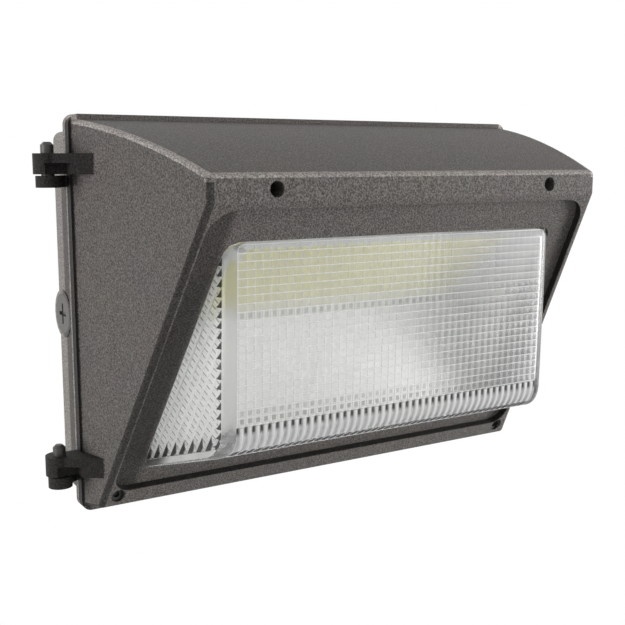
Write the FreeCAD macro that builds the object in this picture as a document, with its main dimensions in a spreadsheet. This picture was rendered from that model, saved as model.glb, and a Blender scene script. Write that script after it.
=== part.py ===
import FreeCAD, Part
import Sketcher
import math
import os

# Wall pack light, in millimetres. The wall plane is Y = 0 and the light stands out of it towards -Y.
# X runs to the right for someone who faces the light, Z runs up. "Out" is the distance from the wall, -Y.

doc = FreeCAD.newDocument("WallPackLight")
sheet = doc.addObject("Spreadsheet::Sheet", "Sizes")

SIZES = {
    # back box
    "flange_width": 331.6, "flange_height": 236.2, "flange_corner": 6.0,
    "box_depth": 32.6, "box_flange_thick": 4.6, "box_side_step": 0.6, "box_body_step": 9.5,
    "box_body_corner": 5.0, "box_rear_round": 9.0, "box_side_wall": 5.0, "box_wall": 3.0,
    "box_floor": 3.0, "seam_gap": 0.3,
    "groove_inset": 1.3, "groove_width": 2.6, "groove_depth": 1.6, "gasket_clearance": 0.1,
    # door casting
    "door_flange_thick": 5.1, "door_reach": 117.4, "fascia_inset": 30.5, "body_inset": 1.9,
    "top_step": 3.1, "brow_fall": 30.4, "brow_arch": 4.0, "fascia_height": 13.9,
    "sole_step": 3.1, "chin_step": 2.1, "chin_reach": 14.7, "door_wall": 3.0, "edge_round": 3.2,
    "recess_rim_side": 4.2, "recess_top": 4.0, "recess_bottom": 11.4, "recess_depth": 5.0,
    "recess_corner_top": 18.0, "recess_corner_bottom": 11.0,
    "lens_band": 17.6, "opening_top": 27.0, "opening_bottom": 21.9, "opening_corner": 9.0,
    # lens
    "lens_clearance": 0.7, "lens_wall": 3.6, "lens_rise": 3.2, "lens_toe_rise": 45.4, "lens_bend": 18.0,
    "lens_corner": 7.0, "lens_flange": 6.0, "lens_flange_thick": 3.5, "lens_gasket_thick": 1.5,
    # reflector tray, board and clips, on bosses behind the recess
    "boss_offset": 11.5, "boss_radius": 4.5, "boss_pilot": 1.5, "boss_first": 50.0, "boss_last": 40.4,
    "clip_thick": 1.2, "clip_height": 14.0, "clip_lap": 4.0, "tray_thick": 1.2, "tray_margin": 1.0,
    "tray_flange": 16.0, "deck_back": 38.5, "deck_drop": 8.0,
    "board_thick": 1.6, "board_width": 210.0, "board_height": 88.0, "board_start": 7.0,
    "board_screw_inset": 4.5, "chip_width": 5.0, "chip_height": 5.0, "chip_thick": 0.7,
    "chip_columns": 24.0, "chip_rows": 10.0, "chip_pitch_across": 8.0, "chip_pitch_down": 8.0,
    "connector_length": 10.0, "connector_width": 5.0, "connector_height": 4.0,
    # door screws
    "upper_screw_side": 39.0, "upper_screw_rise": 6.6, "lower_screw_side": 16.0,
    "lower_screw_inset": 12.5, "screw_shank": 2.45, "screw_length": 16.0, "screw_head": 4.0,
    "screw_head_height": 3.5, "screw_seat": 43.5, "screw_travel": 6.0, "screw_fit": 0.08,
    "counterbore": 4.3, "tube_wall": 2.7, "post_radius": 6.0, "tapped_depth": 11.0,
    # hinges
    "pin_out": 38.0, "pin_offset": 12.7, "pin_radius": 3.7, "pin_stand": 6.4, "pin_fit": 0.08,
    "arm_radius": 8.2, "arm_height": 11.7, "arm_plate": 5.4, "arm_gap": 0.9, "arm_reach": 22.5,
    "knuckle_radius": 7.0, "knuckle_height": 6.6, "knuckle_web": 10.0,
    "upper_arm_inset": 34.1, "lower_arm_inset": 25.9,    "arm_lip": 4.4, "arm_window": 11.0,
    # conduit entries and wiring holes
    "entry_out": 15.0, "entry_boss": 14.4, "entry_proud": 0.7, "plug_head": 12.0, "plug_head_thick": 2.6,
    "plug_thread": 10.1, "plug_length": 12.0, "plug_fit": 0.15, "plug_slot_length": 12.4,
    "plug_slot_width": 2.4, "plug_slot_depth": 1.8, "seal_section": 0.8,
    "grommet_hole": 11.0, "grommet_bore": 6.0, "grommet_rim": 14.0, "grommet_lip": 1.6,
    "wall_hole": 3.25, "wall_hole_spread": 250.0, "wall_hole_rise": 120.0,
    "outlet_box_hole": 2.75, "outlet_box_spread": 88.9,
    # gear in the box
    "driver_length": 176.0, "driver_height": 38.0, "driver_depth": 23.0, "driver_centre": 46.0,
    "driver_foot": 9.0, "driver_foot_thick": 1.5, "gear_standoff": 1.5, "gear_boss": 4.0,
    "surge_length": 46.0, "surge_height": 26.0, "surge_depth": 16.0, "surge_across": 84.0,
    "terminal_length": 44.0, "terminal_height": 18.0, "terminal_depth": 15.0, "terminal_across": 70.0,
    "gear_drop": 52.0, "small_screw": 1.45, "small_head": 3.0, "small_head_height": 2.0,
    "small_length": 4.6, "tray_screw_length": 7.0, "small_fit": 0.2, "ground_across": -30.0,
    "ground_rise": 12.0,
}


class Size:
    # A number with the expression that gives it, so that one sum sets both the shape and its binding.
    def __init__(self, value, text):
        self.value = value
        self.text = text

    def __add__(self, other):
        other = sized(other)
        return Size(self.value + other.value, "(%s + %s)" % (self.text, other.text))

    def __sub__(self, other):
        other = sized(other)
        return Size(self.value - other.value, "(%s - %s)" % (self.text, other.text))

    def __mul__(self, other):
        other = sized(other)
        return Size(self.value * other.value, "%s * %s" % (self.text, other.text))

    def __truediv__(self, other):
        other = sized(other)
        return Size(self.value / other.value, "(%s) / (%s)" % (self.text, other.text))

    def __neg__(self):
        return Size(-self.value, "(-1 * %s)" % self.text)

    def __radd__(self, other):
        return sized(other) + self

    def __rsub__(self, other):
        return sized(other) - self

    def __rmul__(self, other):
        return sized(other) * self


def sized(value):
    return value if isinstance(value, Size) else Size(float(value), "%g" % value)


def fillSheet():
    for row, (alias, value) in enumerate(SIZES.items(), start=1):
        sheet.set("A%d" % row, alias)
        sheet.set("B%d" % row, "%g" % value)
        sheet.setAlias("B%d" % row, alias)
    doc.recompute()


fillSheet()
S = {alias: Size(float(sheet.get(alias)), "Sizes.%s" % alias) for alias in SIZES}

# Heights, all taken from the flange's upper and lower edges.
flangeHalfHeight = S["flange_height"] / 2
topHeight = flangeHalfHeight - S["top_step"]
browHeight = topHeight - S["brow_fall"]
kneeHeight = browHeight - S["fascia_height"]
soleDrop = flangeHalfHeight - S["sole_step"]
chinDrop = soleDrop - S["chin_step"]
boxHalfHeight = flangeHalfHeight - S["box_body_step"]
armBottoms = (("Upper", flangeHalfHeight - S["upper_arm_inset"]),
              ("Lower", S["lower_arm_inset"] - flangeHalfHeight))

# The slanted front face: its run back, its drop, its length and its angle from upright.
slantRun = S["door_reach"] - S["chin_reach"]
slantFall = kneeHeight + chinDrop
slantLength = Size(math.hypot(slantRun.value, slantFall.value), "hypot(%s; %s)" % (slantRun.text, slantFall.text))
slantSin = slantRun / slantLength
slantCos = slantFall / slantLength
slantAngle = Size(90 + math.degrees(math.atan2(slantRun.value, slantFall.value)),
                  "(90 deg + atan(%s / %s))" % (slantRun.text, slantFall.text))

doorBack = S["box_depth"] + S["seam_gap"]
flangeFront = doorBack + S["door_flange_thick"]
fasciaOut = flangeFront + S["door_reach"]
flangeHalf = S["flange_width"] / 2
fasciaHalf = flangeHalf - S["fascia_inset"]
sideSlope = (S["fascia_inset"] - S["body_inset"]) / S["door_reach"]
boxHalf = flangeHalf - S["box_side_step"]

# Rotations that lay a flat outline in each working plane.
FLAT = FreeCAD.Rotation()
UPRIGHT = FreeCAD.Rotation(FreeCAD.Vector(1, 0, 0), 90)      # outline x, y to X, Z; depth runs out of the wall
SIDEWAYS = FreeCAD.Rotation(FreeCAD.Vector(1, 1, 1), 120)    # outline x, y to Y, Z; depth runs along X
SLANTED = FreeCAD.Rotation(FreeCAD.Vector(1, 0, 0), slantAngle.value)


def bind(obj, prop, size):
    obj.setExpression(prop, sized(size).text)


def place(obj, x=0, y=0, z=0, rotation=FLAT):
    x, y, z = sized(x), sized(y), sized(z)
    obj.Placement = FreeCAD.Placement(FreeCAD.Vector(x.value, y.value, z.value), rotation)
    for axis, size in (("x", x), ("y", y), ("z", z)):
        bind(obj, "Placement.Base.%s" % axis, size)
    return obj


def layOnSlant(obj):
    # The slanted frame starts at the knee line: x is X, y runs up the slope, z stands out of the face.
    place(obj, 0, -fasciaOut, kneeHeight, SLANTED)
    bind(obj, "Placement.Rotation.Angle", slantAngle)
    return obj


def slantPoint(down, inward):
    # (Y, Z) of a point this far down the slope from the knee line and this far behind the face.
    y = -fasciaOut + down * slantSin + inward * slantCos
    z = kneeHeight - down * slantCos + inward * slantSin
    return y, z


def drawOutline(sketch, points, arches=None):
    # A closed outline of straight edges through the points. arches gives edges that bulge, by radius.
    arches = arches or {}
    corners = [FreeCAD.Vector(sized(x).value, sized(y).value, 0) for x, y in points]
    count = len(corners)
    for index in range(count):
        start, end = corners[index], corners[(index + 1) % count]
        if index in arches:
            sag, middle = archMiddle(start, end, arches[index])
            sketch.addGeometry(Part.Arc(start, middle, end), False)
        else:
            sketch.addGeometry(Part.LineSegment(start, end), False)
    for index in range(count):
        joinEdges(sketch, index, (index + 1) % count, arches)
    for index, (x, y) in enumerate(points):
        pinCorner(sketch, index, startOf(sketch, index, corners[index]), sized(x), sized(y))
    for index, radius in arches.items():
        number = sketch.addConstraint(Sketcher.Constraint("Radius", index, radius.value))
        sketch.setExpression("Constraints[%d]" % number, radius.text)


def archMiddle(start, end, radius):
    chord = end.sub(start)
    half = chord.Length / 2
    sag = radius.value - math.sqrt(radius.value ** 2 - half ** 2)
    normal = FreeCAD.Vector(chord.y, -chord.x, 0).normalize()
    middle = start.add(end).multiply(0.5)
    if normal.y < 0:
        normal = normal.negative()
    return sag, middle.add(normal.multiply(sag))


def startOf(sketch, index, corner):
    edge = sketch.Geometry[index]
    return 1 if edge.StartPoint.distanceToPoint(corner) < 1e-6 else 2


def joinEdges(sketch, first, second, arches):
    edges = sketch.Geometry
    for end in (1, 2):
        point = edges[first].StartPoint if end == 1 else edges[first].EndPoint
        for start in (1, 2):
            other = edges[second].StartPoint if start == 1 else edges[second].EndPoint
            if point.distanceToPoint(other) < 1e-6:
                sketch.addConstraint(Sketcher.Constraint("Coincident", first, end, second, start))
                return


def pinCorner(sketch, index, end, x, y):
    for kind, size in (("DistanceX", x), ("DistanceY", y)):
        number = sketch.addConstraint(Sketcher.Constraint(kind, -1, 1, index, end, size.value))
        sketch.setExpression("Constraints[%d]" % number, size.text)


def prism(name, rotation, points, low, high, arches=None):
    # The outline pushed from low to high along its plane's normal.
    sketch = doc.addObject("Sketcher::SketchObject", name + "Outline")
    drawOutline(sketch, points, arches)
    if rotation is SLANTED:
        layOnSlant(sketch)
    else:
        sketch.Placement = FreeCAD.Placement(FreeCAD.Vector(), rotation)
    solid = doc.addObject("Part::Extrusion", name)
    solid.Base = sketch
    solid.DirMode = "Normal"
    solid.Solid = True
    bind(solid, "LengthFwd", high)
    bind(solid, "LengthRev", -sized(low))
    return solid


def box(name, rotation, x0, x1, y0, y1, low, high):
    return prism(name, rotation, [(x0, y0), (x1, y0), (x1, y1), (x0, y1)], low, high)


def cylinder(name, radius, length, x, y, z, rotation=FLAT):
    solid = doc.addObject("Part::Cylinder", name)
    bind(solid, "Radius", radius)
    bind(solid, "Height", length)
    return place(solid, x, y, z, rotation)


def fuse(name, *shapes):
    result = doc.addObject("Part::MultiFuse", name)
    result.Shapes = list(shapes)
    result.Refine = True
    return result


def cut(name, base, *tools):
    tool = tools[0] if len(tools) == 1 else fuse(name + "Tools", *tools)
    result = doc.addObject("Part::Cut", name)
    result.Base = base
    result.Tool = tool
    result.Refine = True
    return result


def common(name, *shapes):
    result = doc.addObject("Part::MultiCommon", name)
    result.Shapes = list(shapes)
    return result


def roundEdges(name, base, radius, wanted):
    # Rounds the edges whose middle point and direction the test accepts.
    doc.recompute()
    chosen = []
    for number, edge in enumerate(base.Shape.Edges, start=1):
        middle = edge.valueAt((edge.FirstParameter + edge.LastParameter) / 2)
        direction = edge.tangentAt((edge.FirstParameter + edge.LastParameter) / 2)
        if wanted(middle, direction):
            chosen.append((number, sized(radius).value, sized(radius).value))
    result = doc.addObject("Part::Fillet", name)
    result.Base = base
    result.Edges = chosen
    return result


def label(obj, name):
    obj.Label = name
    nodes.append(obj)
    return obj


nodes = []


# Slanted outlines share the door's side slope: half the width at a distance down the slope.
def slantHalf(down, inset):
    return fasciaHalf + sideSlope * down * slantSin - inset


def slantOutline(inset, top, bottom):
    return [(-slantHalf(top, inset), -top), (slantHalf(top, inset), -top),
            (slantHalf(bottom, inset), -bottom), (-slantHalf(bottom, inset), -bottom)]


def slantPlate(name, inset, top, bottom, low, high, topRound=None, bottomRound=None):
    plate = prism(name, SLANTED, slantOutline(inset, sized(top), sized(bottom)), low, high)
    if topRound is None:
        return plate
    normal = FreeCAD.Vector(0, -slantCos.value, -slantSin.value)
    split = (slantPoint(sized(top), sized(0))[1].value + slantPoint(sized(bottom), sized(0))[1].value) / 2
    upper = roundEdges(name + "Upper", plate, topRound,
                       lambda middle, way: abs(way.dot(normal)) > 0.99 and middle.z > split)
    return roundEdges(name + "Lower", upper, bottomRound,
                      lambda middle, way: abs(way.dot(normal)) > 0.99 and middle.z < split)


def planWedge(name, inset, backOut):
    # The door's tapering plan, from a little past the brow to backOut, tall enough to cut any profile.
    front = fasciaOut + 20
    frontHalf = fasciaHalf - sideSlope * 20 - inset
    backHalf = fasciaHalf + sideSlope * (fasciaOut - backOut) - inset
    points = [(-frontHalf, -front), (frontHalf, -front), (backHalf, -backOut), (-backHalf, -backOut)]
    return prism(name, FLAT, points, -S["flange_height"], S["flange_height"])


def flangePlate(name, low, high, inset=0.0):
    half, tall = flangeHalf - inset, flangeHalfHeight - inset
    plate = box(name, UPRIGHT, -half, half, -tall, tall, low, high)
    corner = S["flange_corner"] - min(inset if not isinstance(inset, Size) else inset.value, 4.0)
    return roundEdges(name + "Rounded", plate, corner, lambda middle, way: abs(way.y) > 0.99)


# ---- door casting
recessBack = S["recess_depth"] + S["door_wall"]
openingInset = S["recess_rim_side"] + S["lens_band"]
openingTop = S["opening_top"]
openingBottom = slantLength - S["opening_bottom"]
recessTop = S["recess_top"]
recessBottom = slantLength - S["recess_bottom"]
seatPlane = recessBack + S["lens_gasket_thick"] + S["lens_flange_thick"]      # behind the lens flange
archChord = Size(math.hypot(S["door_reach"].value, topHeight.value - browHeight.value),
                 "hypot(%s; %s)" % (S["door_reach"].text, (topHeight - browHeight).text))
archRadius = archChord * archChord / (8 * S["brow_arch"]) + S["brow_arch"] / 2


def doorShell():
    # Outer form: the side profile, tapered in plan, with every outer edge rounded.
    profile = [(-doorBack, topHeight), (-flangeFront, topHeight),
               (-fasciaOut, browHeight), (-fasciaOut, kneeHeight),
               (-(flangeFront + S["chin_reach"]), -chinDrop), (-flangeFront, -soleDrop),
               (-doorBack, -soleDrop)]
    side = prism("DoorProfile", SIDEWAYS, profile, -flangeHalf, flangeHalf, {1: archRadius})
    blank = common("DoorBlank", side, planWedge("DoorPlan", sized(0), doorBack))
    front = -flangeFront.value - 1
    across = roundEdges("DoorBrowRound", blank, S["edge_round"],
                        lambda middle, way: abs(way.x) > 0.99 and middle.y < front)
    return roundEdges("DoorSideRound", across, S["edge_round"],
                      lambda middle, way: abs(way.x) < 0.9 and middle.y < front - 2)


def doorCavity():
    wall = S["door_wall"]
    top = slantPoint(sized(1.0), wall)
    bottom = slantPoint(slantLength - wall, wall)
    profile = [(-(doorBack - 1), topHeight - wall), (-flangeFront, topHeight - wall),
               (-(fasciaOut - wall), browHeight - wall), (-(fasciaOut - wall), top[1]),
               (bottom[0], -(chinDrop - wall)), (-(doorBack - 1), -(chinDrop - wall))]
    side = prism("CavityProfile", SIDEWAYS, profile, -flangeHalf, flangeHalf, {1: archRadius})
    hollow = common("CavityBlank", side, planWedge("CavityPlan", wall, doorBack - 1))
    backing = slantPlate("RecessBacking", S["recess_rim_side"] - wall, recessTop - wall, recessBottom + wall,
                         -recessBack, sized(0), S["recess_corner_top"] + wall, S["recess_corner_bottom"] + wall)
    return cut("DoorCavity", hollow, backing)


def screwPlaces():
    upper, lower = fasciaHalf - S["upper_screw_side"], flangeHalf - S["lower_screw_side"]
    high, low = kneeHeight + S["upper_screw_rise"], S["lower_screw_inset"] - flangeHalfHeight
    return {"upper_left": (-upper, high), "upper_right": (upper, high),
            "lower_left": (-lower, low), "lower_right": (lower, low)}


def bossPlaces():
    # (side, distance down the slope) of the six bosses behind the recess.
    pitch = (slantLength - S["boss_first"] - S["boss_last"]) / 2
    return [(side, S["boss_first"] + pitch * step) for side in (-1, 1) for step in range(3)]


def slantCylinder(name, radius, side, down, offset, low, high):
    solid = doc.addObject("Part::Cylinder", name)
    bind(solid, "Radius", radius)
    bind(solid, "Height", sized(high) - sized(low))
    x = side * (slantHalf(down, openingInset) + offset)
    y, z = slantPoint(down, -sized(low))
    place(solid, x, y, z, SLANTED)
    bind(solid, "Placement.Rotation.Angle", slantAngle)
    return solid


def hingeArm(name, bottom):
    # A plate from the pin to the side wall, with a lip round the pin and a gusset by the wall under it.
    radius, top = S["arm_radius"], bottom + S["arm_height"]
    pinX, pinY = -(flangeHalf + S["pin_offset"]), -S["pin_out"]
    wallHalf = fasciaHalf + sideSlope * (S["door_reach"] - S["arm_reach"])
    tip = (-wallHalf + 1, -(flangeFront + S["arm_reach"]))
    sheetPoints = [(pinX, pinY - radius), tip, (-wallHalf + 1, -doorBack), (pinX, -doorBack)]
    eye = cylinder(name + "Eye", radius, S["arm_height"], pinX, pinY, bottom)
    web = prism(name + "Web", FLAT, sheetPoints, bottom, top)
    whole = fuse(name + "Whole", eye, web)
    left = pinX - radius + S["arm_lip"]
    window = box(name + "Window", FLAT, left, left + S["arm_window"] + 2, -(flangeFront + S["arm_reach"]) - 5,
                 pinY - S["pin_radius"] - 1.2, bottom - 1, top - S["arm_plate"])
    return cut(name, whole, window)


def buildDoor():
    flange = flangePlate("DoorFlange", doorBack, flangeFront)
    tubes = []
    for name, (x, z) in screwPlaces().items():
        tubes.append(cylinder("Tube_" + name, S["counterbore"] + S["tube_wall"], fasciaOut - doorBack,
                              x, -doorBack, z, UPRIGHT))
    shell = doorShell()
    solidTubes = common("ScrewTubes", fuse("TubeBlanks", *tubes), shell)
    hollow = cut("DoorHollow", fuse("DoorOuter", shell, flange), doorCavity())
    bosses = [slantCylinder("Boss%d" % n, S["boss_radius"], side, down, S["boss_offset"], -seatPlane,
                            -S["recess_depth"] - 0.5) for n, (side, down) in enumerate(bossPlaces())]
    arms = [hingeArm(name + "Arm", bottom) for name, bottom in armBottoms]
    solid = fuse("DoorSolid", hollow, solidTubes, *(bosses + arms))
    cuts = [slantPlate("Recess", S["recess_rim_side"], recessTop, recessBottom, -S["recess_depth"], sized(12),
                       S["recess_corner_top"], S["recess_corner_bottom"]),
            slantPlate("Opening", openingInset, openingTop, openingBottom, -(recessBack + 2), sized(1),
                       S["opening_corner"], S["opening_corner"])]
    for name, (x, z) in screwPlaces().items():
        cuts.append(cylinder("Counterbore_" + name, S["counterbore"], fasciaOut, x, -S["screw_seat"], z, UPRIGHT))
        cuts.append(cylinder("Shank_" + name, S["screw_shank"] + S["screw_fit"], fasciaOut, x, -S["box_depth"], z,
                             UPRIGHT))
    for n, (side, down) in enumerate(bossPlaces()):
        cuts.append(slantCylinder("Pilot%d" % n, S["boss_pilot"], side, down, S["boss_offset"], -(seatPlane + 1),
                                  -(S["recess_depth"] + 1.2)))
    pinX, pinY = -(flangeHalf + S["pin_offset"]), -S["pin_out"]
    for name, bottom in armBottoms:
        cuts.append(cylinder("PinHole" + name, S["pin_radius"] + S["pin_fit"], S["arm_height"] + 2, pinX, pinY,
                             bottom - 1))
    return label(cut("DoorFrame", solid, *cuts), "door_frame")


# ---- back box
def boxBody():
    body = box("BoxBlank", UPRIGHT, -boxHalf, boxHalf, -boxHalfHeight, boxHalfHeight, sized(0), S["box_depth"])
    cornered = roundEdges("BoxCorners", body, S["box_body_corner"], lambda middle, way: abs(way.y) > 0.99)
    return roundEdges("BoxRear", cornered, S["box_rear_round"], lambda middle, way: abs(middle.y) < 0.01)


def boxCavity():
    half, tall = boxHalf - S["box_side_wall"], boxHalfHeight - S["box_wall"]
    hollow = box("BoxHollow", UPRIGHT, -half, half, -tall, tall, S["box_floor"], S["box_depth"] + 1)
    corner = roundEdges("BoxHollowCorners", hollow, S["box_body_corner"], lambda middle, way: abs(way.y) > 0.99)
    return roundEdges("BoxHollowFloor", corner, S["box_rear_round"] - S["box_floor"],
                      lambda middle, way: abs(middle.y + S["box_floor"].value) < 0.01)


def gasketRing(name, low, high, slack):
    # A band between two rounded plates that follows the flange's edge.
    inset = S["groove_inset"] + slack
    outer = flangePlate(name + "Outer", low, high, inset)
    inner = flangePlate(name + "Inner", sized(low) - 1, sized(high) + 1, inset + S["groove_width"] - 2 * slack)
    return cut(name, outer, inner)


def knuckle(name, armBottom):
    # The fixed eye under a hinge arm, joined to the box's flange behind the seam.
    top = armBottom - S["arm_gap"]
    bottom = top - S["knuckle_height"]
    pinX, pinY, radius = -(flangeHalf + S["pin_offset"]), -S["pin_out"], S["knuckle_radius"]
    eye = cylinder(name + "Eye", radius, S["knuckle_height"], pinX, pinY, bottom)
    web = prism(name + "Web", FLAT, [(pinX, pinY - radius / 2), (-flangeHalf - 1, -S["box_depth"]),
                                     (-flangeHalf + 1, -S["box_depth"]),
                                     (-flangeHalf + 1, -(S["box_depth"] - S["knuckle_web"])),
                                     (pinX, pinY + radius)], bottom, top)
    return fuse(name, eye, web)


def entryParts(side):
    # The round boss for a conduit on one side wall, and the holes through it.
    turn = FreeCAD.Rotation(FreeCAD.Vector(0, 1, 0), 90 * side)
    face = side * (boxHalf + S["entry_proud"])
    inner = S["plug_length"] + 2
    name = "Right" if side > 0 else "Left"
    boss = cylinder("EntryBoss" + name, S["entry_boss"], inner, face - side * inner, -S["entry_out"], 0, turn)
    seat = cylinder("EntrySeat" + name, S["plug_head"] + S["plug_fit"], S["plug_head_thick"] + 1,
                    face - side * S["plug_head_thick"], -S["entry_out"], 0, turn)
    bore = cylinder("EntryBore" + name, S["plug_thread"] + S["plug_fit"], inner + 2, face - side * (inner + 1),
                    -S["entry_out"], 0, turn)
    return boss, [seat, bore]


def gearScrewPlaces():
    # (X, Z) of the screws that hold the driver, the surge protector and the terminal block.
    driver = S["driver_length"] / 2 + S["driver_foot"] / 2
    surge = S["surge_length"] / 2 - S["small_head"] - 1
    terminal = S["terminal_length"] / 2 - S["small_head"] - 1
    drop = -S["gear_drop"]
    return {
        "driver": [(-driver, S["driver_centre"]), (driver, S["driver_centre"])],
        "surge": [(-S["surge_across"] - surge, drop), (-S["surge_across"] + surge, drop)],
        "terminal": [(S["terminal_across"] - terminal, drop), (S["terminal_across"] + terminal, drop)],
        "ground": [(S["ground_across"], drop + S["ground_rise"])],
    }


def buildBackBox():
    flange = flangePlate("BoxFlange", S["box_depth"] - S["box_flange_thick"], S["box_depth"])
    tray = cut("BoxTray", fuse("BoxOuter", boxBody(), flange), boxCavity())
    added, holes = [], []
    stub = S["tapped_depth"] + 4
    for name, (x, z) in screwPlaces().items():
        length = stub if "lower" in name else S["box_depth"] - S["box_floor"] + 1
        added.append(cylinder("Post_" + name, S["post_radius"], length, x, -(S["box_depth"] - length), z, UPRIGHT))
        holes.append(cylinder("Tapped_" + name, S["screw_shank"] + S["screw_fit"], S["tapped_depth"] + 1, x,
                              -(S["box_depth"] - S["tapped_depth"]), z, UPRIGHT))
    for side in (-1, 1):
        boss, openings = entryParts(side)
        added.append(boss)
        holes += openings
    added += [knuckle(name + "Knuckle", bottom) for name, bottom in armBottoms]
    for kind, places in gearScrewPlaces().items():
        for n, (x, z) in enumerate(places):
            rise = S["gear_standoff"] + (S["driver_foot_thick"] if kind == "ground" else 0)
            added.append(cylinder("GearBoss_%s%d" % (kind, n), S["gear_boss"], rise + 1, x,
                                  -(S["box_floor"] - 1), z, UPRIGHT))
            holes.append(cylinder("GearPilot_%s%d" % (kind, n), S["small_screw"], rise + 3, x,
                                  -(S["box_floor"] - 2), z, UPRIGHT))
    half = S["wall_hole_spread"] / 2
    tall = S["wall_hole_rise"] / 2
    for n, (x, z) in enumerate([(-half, -tall), (half, -tall), (half, tall), (-half, tall)]):
        holes.append(cylinder("WallHole%d" % n, S["wall_hole"], S["box_floor"] + 2, x, 1, z, UPRIGHT))
    for n, side in enumerate((-1, 1)):
        holes.append(cylinder("OutletHole%d" % n, S["outlet_box_hole"], S["box_floor"] + 2,
                              side * S["outlet_box_spread"] / 2, 1, 0, UPRIGHT))
    holes.append(cylinder("WireEntry", S["grommet_hole"], S["box_floor"] + 2, 0, 1, 0, UPRIGHT))
    pinX, pinY = -(flangeHalf + S["pin_offset"]), -S["pin_out"]
    for name, bottom in armBottoms:
        holes.append(cylinder("KnuckleHole" + name, S["pin_radius"], S["knuckle_height"] + 2, pinX, pinY,
                              bottom - S["arm_gap"] - S["knuckle_height"] - 1))
    holes.append(gasketRing("Groove", S["box_depth"] - S["groove_depth"], S["box_depth"] + 1, sized(0)))
    return label(cut("BackBox", fuse("BoxSolid", tray, *added), *holes), "back_box")


# ---- turned and padded pieces, each a body of its own
def plane(body, role):
    return [feature for feature in body.Origin.OriginFeatures if feature.Role == role][0]


def newBody(name):
    body = doc.addObject("PartDesign::Body", name + "_body")
    return label(body, name)


def bodySketch(body, role, name, points):
    sketch = body.newObject("Sketcher::SketchObject", name)
    sketch.AttachmentSupport = [(plane(body, role), "")]
    sketch.MapMode = "FlatFace"
    drawOutline(sketch, points)
    return sketch


def turned(name, points):
    # A body turned about its own Z axis from a half profile of (radius, height) points.
    body = newBody(name)
    sketch = bodySketch(body, "XZ_Plane", name + "_profile", points)
    turn = body.newObject("PartDesign::Revolution", name + "_turn")
    turn.Profile = (sketch, [""])
    turn.ReferenceAxis = (sketch, ["V_Axis"])
    turn.Angle = 360
    body.Tip = turn
    return body


def padded(name, points, length, role="XY_Plane"):
    body = newBody(name)
    sketch = bodySketch(body, role, name + "_outline", points)
    pad = body.newObject("PartDesign::Pad", name + "_pad")
    pad.Profile = (sketch, [""])
    bind(pad, "Length", length)
    body.Tip = pad
    return body


def pocket(body, name, role, points, length, offset=None, reverse=False):
    sketch = bodySketch(body, role, name + "_outline", points)
    if offset is not None:
        bind(sketch, "AttachmentOffset.Base.z", offset)
    doc.recompute()
    before = body.Tip
    tool = body.newObject("PartDesign::Pocket", name)
    tool.Profile = (sketch, [""])
    tool.Reversed = reverse
    bind(tool, "Length", length)
    body.Tip = tool
    doc.recompute()
    if tool.Shape.Volume > before.Shape.Volume - 0.01:
        raise RuntimeError("the pocket %s removes nothing" % name)
    return tool


def rectangle(x0, x1, y0, y1):
    return [(x0, y0), (x1, y0), (x1, y1), (x0, y1)]


def buildHingePins():
    length = S["knuckle_height"] + S["arm_gap"] + S["arm_height"] + S["pin_stand"]
    dome = S["pin_radius"] * 0.45
    for name, bottom in armBottoms:
        r = S["pin_radius"]
        pin = turned(name.lower() + "_hinge_pin", [(0, 0), (r, 0), (r, length - dome), (r - dome, length), (0, length)])
        place(pin, -(flangeHalf + S["pin_offset"]), -S["pin_out"], bottom - S["arm_gap"] - S["knuckle_height"])


def buildDoorScrews():
    for name, (x, z) in screwPlaces().items():
        shank, head, length = S["screw_shank"], S["screw_head"], S["screw_length"]
        socket = head * 0.5
        points = [(0, -length), (shank - 0.6, -length), (shank, -(length - 0.8)), (shank, 0), (head, 0),
                  (head, S["screw_head_height"]), (socket, S["screw_head_height"]),
                  (socket, S["screw_head_height"] * 0.4), (0, S["screw_head_height"] * 0.4)]
        screw = turned("door_screw_" + name, points)
        place(screw, x, -(S["screw_seat"] + S["screw_travel"]), z, UPRIGHT)


def buildPlugs():
    for side, name in ((-1, "left"), (1, "right")):
        head, thick, thread = S["plug_head"], S["plug_head_thick"], S["plug_thread"]
        length, seal = S["plug_length"], S["seal_section"]
        points = [(0, -length), (thread - 1, -length), (thread, -(length - 1)), (thread, -thick),
                  (thread, -(thick - seal)), (head, -(thick - seal)), (head, 0), (0, 0)]
        plug = turned("conduit_plug_" + name, [p for n, p in enumerate(points) if n != 3])
        half, width, deep = S["plug_slot_length"] / 2, S["plug_slot_width"] / 2, S["plug_slot_depth"]
        pocket(plug, "slot_across_" + name, "XY_Plane", rectangle(-half, half, -width, width), deep)
        pocket(plug, "slot_upright_" + name, "XY_Plane", rectangle(-width, width, -half, half), deep)
        turn = FreeCAD.Rotation(FreeCAD.Vector(0, 1, 0), 90 * side)
        place(plug, side * (boxHalf + S["entry_proud"]), -S["entry_out"], 0, turn)


def buildGroup(name, source, placements):
    # Identical pieces in one node: copies of one solid at the places given.
    doc.recompute()
    copies = []
    for x, y, z, rotation in placements:
        copy = source.Shape.copy()
        copy.Placement = FreeCAD.Placement(FreeCAD.Vector(x.value, y.value, z.value), rotation)
        copies.append(copy)
    group = doc.addObject("Part::Feature", name + "_group")
    group.Shape = Part.makeCompound(copies)
    return label(group, name)


def patternBody(name, build):
    # A body that only serves as the pattern of a group, so it isn't a node itself.
    body = build(name)
    nodes.remove(body)
    body.Label = name
    return body


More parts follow.
